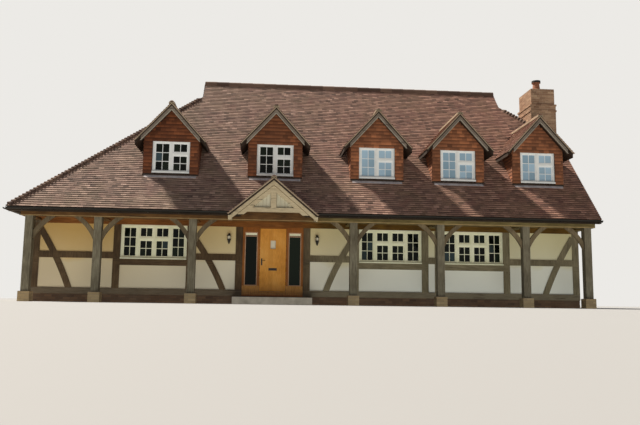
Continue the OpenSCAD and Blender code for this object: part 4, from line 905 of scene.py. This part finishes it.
sashes, glazing = window_pieces()
add_piece("ground_casements", sashes["ground"], joinery_paint)
add_piece("upper_casements", sashes["upper"], dormer_paint)
add_piece("sidelight_beads", sashes["beads"], bead_oak)
panes = add_piece("window_panes", glazing, glass)
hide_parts("window_glass")


def sills(node):
    """A sill board along the foot of every window frame of a node."""
    high, out = SILL_SIZES[node]
    parts = []
    for low, top in islands(node):
        thin = int(np.argmin((top - low)[:2]))
        side = np.sign((low + top)[thin] / 2 - (0 if thin == 0 else y_ridge))
        a, b = low.copy(), top.copy()
        b[2] = low[2] + high
        if side < 0:
            a[thin], b[thin] = low[thin] - out, low[thin]
        else:
            a[thin], b[thin] = top[thin], top[thin] + out
        parts.append(boxes(a, b, 0.5))
    return parts


add_piece("ground_sills", sills("ground_windows"), joinery_paint)
add_piece("upper_sills", sills("upper_windows"), dormer_paint)


# Verges, ridges and lead

BARGE_W, STRIP_HALF_D = 0.150, 0.010
# Sizes of the dark strip of painted shade above each dormer's lead
SHADE_STRIP_OUT, SHADE_STRIP_IN, SHADE_STRIP_H, SHADE_STRIP_LAP, SHADE_STRIP_PAST = 0.042, 0.010, 0.052, 0.003, 0.02
RIDGE_PIECE, RIDGE_SINK, RIDGE_T, RIDGE_JOINT, RIDGE_UP, RIDGE_PAST = 0.30, 0.02, 0.02, 0.008, 0.01, 0.02
BEDDING_PAST, BEDDING_HALF_T = 0.012, 0.03
barge_under = boards[0][1, 2] - BARGE_W / cos(DORMER_PITCH)
apron_top = corners("lead_aprons")[1][2]


def sill_shade_strip(place):
    """A dark strip of painted shade between a front dormer's tiles and its lead, as wide as the dormer."""
    half = cheek + SHADE_STRIP_PAST
    return [boxes([place - half, dormer_face - SHADE_STRIP_OUT, apron_top - SHADE_STRIP_H],
                  [place + half, dormer_face + SHADE_STRIP_IN, apron_top + SHADE_STRIP_LAP], 0.5)]


def gable_strips(place, front, apex, half, pitch, off, half_thick, out):
    """A strip on the front of a gable, carried up both slopes from its foot, half a width out, to its apex.
    It lies off the line of the edge that it follows, and stands out from the front."""
    parts = []
    for side in (-1, 1):
        normal = np.array([side * sin(pitch), 0, cos(pitch)])
        top = np.array([place, front, apex])
        foot = top + [side * half, 0, -half * tan(pitch)]
        shift = normal * off - Y * out
        parts.append(bars(foot + shift, top + shift, normal * half_thick, Y * STRIP_HALF_D, 0.5))
    return parts


# The pale undercloak under the tiles, a dark strip of painted shadow under it, and a pale strip along the
# bargeboards' lower arris
for name, slot, look, apex, half, *strip in (
        ("verge_undercloaks", "lime_render", bedding_mortar, dormer_top, dormer_half, -0.012, 0.011, 0.011),
        ("verge_drips", "weathered_oak", tile_shadow, dormer_top, dormer_half, -0.041, 0.018, 0.006),
        ("bargeboard_arrises", "weathered_oak", arris_oak, barge_under, barge_half, 0.009, 0.009, 0.003)):
    strips = lambda place: gable_strips(place, barge_front, apex, half, DORMER_PITCH, *strip)
    add_piece(name, on_front(strips) + on_rear(strips), look)
add_piece("porch_undercloak", gable_strips(porch_x, porch_lo[1], porch_hi[2], porch_half, PORCH_PITCH,
                                           -0.012, 0.013, 0.008), bedding_mortar)
add_piece("dormer_sill_shade_strips", on_front(sill_shade_strip) + on_rear(sill_shade_strip), tile_shadow)


def ridge_run(place, verge, apex):
    """Start and end of a small gable's ridge: from its verge to a little past the main slope."""
    valley = y_front + (apex - eaves_z) / tan(MAIN_PITCH)
    return np.array([[place, verge, apex + RIDGE_UP], [place, valley + RIDGE_PAST, apex + RIDGE_UP]])


def half_rounds(run, radius):
    """Half round ridge tiles along a run, end to end. Each is a shell of 8 flats over 180 degrees, 2 cm
    thick, and up to 3 % wider than its neighbours."""
    start, end = run
    length = np.linalg.norm(end - start)
    forward = (end - start) / length
    across = np.cross(forward, Z)
    count = max(1, round(length / RIDGE_PIECE))
    step = length / count
    turn = np.linspace(0, pi, 9)
    parts = []
    for i in range(count):
        a = start + forward * (i * step + RIDGE_JOINT / 2)
        b = start + forward * ((i + 1) * step - RIDGE_JOINT / 2)
        grow = 1 + 0.03 * draw.random()
        (inner_a, outer_a), (inner_b, outer_b) = (
            [at - Z * RIDGE_SINK + (r * np.cos(turn))[:, None] * across + (r * np.sin(turn))[:, None] * Z
             for r in (radius * grow - RIDGE_T, radius * grow)] for at in (a, b))
        eight = np.stack([inner_a[:-1], inner_b[:-1], inner_b[1:], inner_a[1:],
                          outer_a[:-1], outer_b[:-1], outer_b[1:], outer_a[1:]], 1)
        parts.append(blocks(eight, draw.random()))
    return parts


def bedding(run, radius):
    """A pale mortar core under a run of ridge tiles, which shows at their joints and edges."""
    start, end = run
    across = np.cross(end - start, Z)
    across /= np.linalg.norm(across)
    return [bars(start - Z * RIDGE_SINK, end - Z * RIDGE_SINK, across * (radius + BEDDING_PAST),
                 Z * BEDDING_HALF_T, 0.5)]


dormer_run = lambda place: ridge_run(place, dormer_verge, dormer_top)
porch_run = ridge_run(porch_x, porch_verge, porch_hi[2])
for name, make, dormer_radius, porch_radius, slot, look in (
        ("small_ridge_tiles", half_rounds, 0.085, 0.075, "ridge_clay", roof_clay),
        ("ridge_bedding", bedding, 0.08, 0.07, "lime_render", mortar)):
    at_dormer = lambda place: make(dormer_run(place), dormer_radius)
    add_piece(name, on_front(at_dormer) + on_rear(at_dormer) + make(porch_run, porch_radius), look)


# Door leaf in boards, and its light's bead

BOARDS, BOARD_OUT, BOARD_EDGE, BOARD_GAP = 6, 0.005, 0.004, 0.004
BEAD_OUT, DOOR_BEAD_W = 0.006, 0.022


def door_boards():
    """Six upright boards on the leaf's face with 4 mm gaps, cut round the light."""
    light_lo, light_hi = corners("door_light")
    face, foot, top = door_lo[1], door_lo[2] + BOARD_EDGE, door_hi[2] - BOARD_EDGE
    edges = np.linspace(door_lo[0] + BOARD_EDGE, door_hi[0] - BOARD_EDGE, BOARDS + 1)
    parts = []
    for a, b in zip(edges[:-1] + BOARD_GAP / 2, edges[1:] - BOARD_GAP / 2):
        tone = draw.random()
        fields = [(a, b, foot, top)]
        if b > light_lo[0] and a < light_hi[0]:
            fields = [(a, light_lo[0], light_lo[2], light_hi[2]),
                      (light_hi[0], b, light_lo[2], light_hi[2]),
                      (a, b, foot, light_lo[2]), (a, b, light_hi[2], top)]
        parts += [boxes([left, face - BOARD_OUT, low], [right, face, high], tone)
                  for left, right, low, high in fields if left < right]
    return parts


def light_bead():
    """Four strips that hold the door's light."""
    low, high = corners("door_light")
    half_w, _, half_h = (high - low) / 2
    middle = (low + high) / 2
    middle[1] = door_lo[1] - BEAD_OUT
    return surround(middle, X, half_w, half_h, DOOR_BEAD_W, Y * BEAD_OUT, 0.2)


add_piece("door_boards", door_boards(), door_oak, "front_door")
add_piece("door_light_bead", light_bead(), door_oak, "front_door")


# Boards of the porch gable, panes of the lanterns and brackets of the gutters

PORCH_OUT, PORCH_FRAME_D, PORCH_TIE_TOP, PORCH_KING_W = 0.040, 0.120, 0.105, 0.165
PORCH_LAYERS = 0.070 + 0.100 + 0.012 + 0.120
PORCH_BOARD_W, PORCH_BOARD_T, PORCH_BOARD_GAP = 0.118, 0.016, 0.008
GLASS_FOOT, GLASS_TOP, GLASS_R, PANE_T = 0.165, 0.255, 0.054, 0.005
BRACKET_EVERY, BRACKET_W, BRACKET_T, BRACKET_IN = 0.90, 0.024, 0.007, 0.01
BRACKET_START, BRACKET_END = 0.45, 0.20


def porch_boards():
    """Upright boards behind the tie beam, on both sides of the king post. PORCH_LAYERS is what lies between
    the tiles and the boards across the slope: roof, outer rafter, gap and inner rafter. A board's top keeps
    under the inner rafter: the apex less the way from the middle times the tangent of the pitch."""
    face, foot = y_front - PORCH_OUT + PORCH_FRAME_D, eaves_z + PORCH_TIE_TOP
    apex = porch_hi[2] - PORCH_LAYERS / cos(PORCH_PITCH)
    reach = (apex - foot) / tan(PORCH_PITCH)
    start = np.arange(PORCH_KING_W / 2, reach - PORCH_BOARD_W / 2, PORCH_BOARD_W) + PORCH_BOARD_GAP
    stop = np.minimum(start + PORCH_BOARD_W - PORCH_BOARD_GAP, reach - PORCH_BOARD_GAP / 2)
    low, high = np.concatenate([-stop, start]), np.concatenate([-start, stop])
    low_top, high_top = (apex - abs(u) * tan(PORCH_PITCH) for u in (low, high))
    ring = ((low, face - PORCH_BOARD_T), (high, face - PORCH_BOARD_T), (high, face), (low, face))
    levels = ((foot, foot, foot, foot), (low_top, high_top, high_top, low_top))
    points = [rows(porch_x + u, y, z) for heights in levels for (u, y), z in zip(ring, heights)]
    return blocks(np.stack(points, 1))


def lantern_panes(box):
    """Six opal panes in a hexagon round a lantern's waist, and an iron bar at each corner."""
    low, high = box
    reach = (high[0] - low[0]) / 2
    axis = np.array([low[0] + reach, low[1] + reach * cos(radians(30)), low[2]])
    turn = np.radians(60 * np.arange(7))
    ray = np.stack([np.cos(turn), np.sin(turn), 0 * turn], 1)
    inner, outer = (axis + r * ray for r in (GLASS_R - PANE_T, GLASS_R))
    ring = [inner[:-1], outer[:-1], outer[1:], inner[1:]]
    panes = blocks(np.stack([p + Z * h for h in (GLASS_FOOT, GLASS_TOP) for p in ring], 1))
    corner = outer[:-1]
    half = np.array([PANE_T / 2, PANE_T / 2, 0])
    return panes, boxes(corner - half + Z * GLASS_FOOT, corner + half + Z * GLASS_TOP)


def gutter_brackets():
    """Iron straps under the gutters of the front, the rear and the left end, one to every 90 cm."""
    low, high = corners("gutters")
    top, drop = low[2], low[2] - BRACKET_T
    x = np.arange(x_left + BRACKET_START, high[0] - BRACKET_END, BRACKET_EVERY)
    clear = x[abs(x - porch_x) > porch_half]
    strap = lambda a: boxes(rows(a - BRACKET_W / 2, low[1] + BRACKET_IN, drop),
                            rows(a + BRACKET_W / 2, y_front, top), 0.5)
    y = np.arange(y_front + BRACKET_START, y_rear - BRACKET_END, BRACKET_EVERY)
    end = boxes(rows(low[0] + BRACKET_IN, y - BRACKET_W / 2, drop),
                rows(x_left, y + BRACKET_W / 2, top), 0.5)
    return [strap(clear), mirrored(strap(x)), end]


add_piece("porch_gable_boards", [porch_boards()], porch_board_oak)
lantern_parts = [lantern_panes(box) for box in islands("wall_lanterns")]
add_piece("lantern_panes", [panes for panes, _ in lantern_parts], opal)
add_piece("lantern_bars", [corner_bars for _, corner_bars in lantern_parts], iron)
add_piece("gutter_brackets", gutter_brackets(), iron)


# Stage, light and camera

def make_stage():
    """A plain pale floor under the house, a disc 160 m wide. It takes shadows and throws none, so that the
    bounce lamp reaches the house from below it."""
    radius, count = 80, 96
    turn = np.linspace(0, 2 * pi, count + 1)[:-1]
    rim = radius * np.stack([np.cos(turn), np.sin(turn), np.zeros(count)], 1)
    mesh = bpy.data.meshes.new("floor")
    mesh.from_pydata(rim.tolist(), [], [list(range(count))])
    material, add, _ = new_material("studio_floor", Roughness=0.95)
    seen = add("LightPath", [], out="Is Camera Ray")
    finished(material, add("Mix", [seen, linear("#a5a29b"), linear("#b2b6bb")], data_type="RGBA"))
    mesh.materials.append(material)
    floor = bpy.data.objects.new("floor", mesh)
    floor.visible_shadow = False
    bpy.context.scene.collection.objects.link(floor)


def make_world():
    """Soft light from everywhere, and a pale backdrop for camera, glossy and transmission rays."""
    world = bpy.data.worlds.new("studio")
    bpy.context.scene.world = world
    world.use_nodes = True
    tree = world.node_tree
    tree.nodes.clear()
    add = partial(add_node, tree)
    seen = 0.0
    for ray in ("Is Camera Ray", "Is Glossy Ray", "Is Transmission Ray"):
        seen = add("Math", [seen, add("LightPath", [], out=ray)], operation="MAXIMUM")
    fill, backdrop = (add("Background", {"Color": linear(colour), "Strength": strength})
                      for colour, strength in (("#e2eaf8", 0.09), ("#eceae6", 1.0)))
    add("OutputWorld", {"Surface": add("MixShader", [seen, fill, backdrop])})


def make_sun(name, energy, spread, colour, away, glossy=True):
    """A distant lamp as wide as its spread in degrees, which shines along away."""
    light = bpy.data.lights.new(name, "SUN")
    light.energy = energy
    light.angle = radians(spread)
    light.color = linear(colour)[:3]
    lamp = bpy.data.objects.new(name, light)
    lamp.rotation_euler = (radians(90) - atan2(-away[2], np.hypot(*away[:2])), 0, atan2(-away[0], away[1]))
    lamp.visible_glossy = glossy
    bpy.context.scene.collection.objects.link(lamp)


def make_camera():
    """The photograph's camera, solved from its vanishing lines: 680 px focal length on 640 px."""
    focal, photo_w, sensor = 680, 640, 36.0
    yaw, pitch, roll = 0.0800, 0.1305, 0.0134
    forward = np.array([sin(yaw) * cos(pitch), cos(yaw) * cos(pitch), sin(pitch)])
    level_right = np.array([cos(yaw), -sin(yaw), 0])
    level_up = np.cross(level_right, forward)
    right = level_right * cos(roll) + level_up * sin(roll)
    up = level_up * cos(roll) - level_right * sin(roll)
    camera = bpy.data.objects.new("camera", bpy.data.cameras.new("camera"))
    camera.data.sensor_width = sensor
    camera.data.lens = sensor * focal / photo_w
    camera.data.clip_end = 400
    place = np.array([door_x - 0.257, wall_y - 21.842, 0.0993])
    camera.matrix_world = Matrix([[*row, p] for row, p in zip(np.stack([right, up, -forward], 1), place)]
                                 + [[0, 0, 0, 1]])
    bpy.context.scene.collection.objects.link(camera)
    bpy.context.scene.camera = camera


make_stage()
make_world()
# The key comes from the upper left, a little behind the front wall, as the shadows of the dormers show. The
# bounce is the light that bright ground in front throws up under the veranda.
make_sun("key", energy=6.0, spread=4, colour="#fff1de", away=np.array([0.69, -0.40, -1.0]))
make_sun("bounce", energy=1.62, spread=60, colour="#f8faf0", away=np.array([-0.05, 0.80, 0.80]),
         glossy=False)
make_camera()
bpy.context.scene.view_settings.view_transform = "Standard"
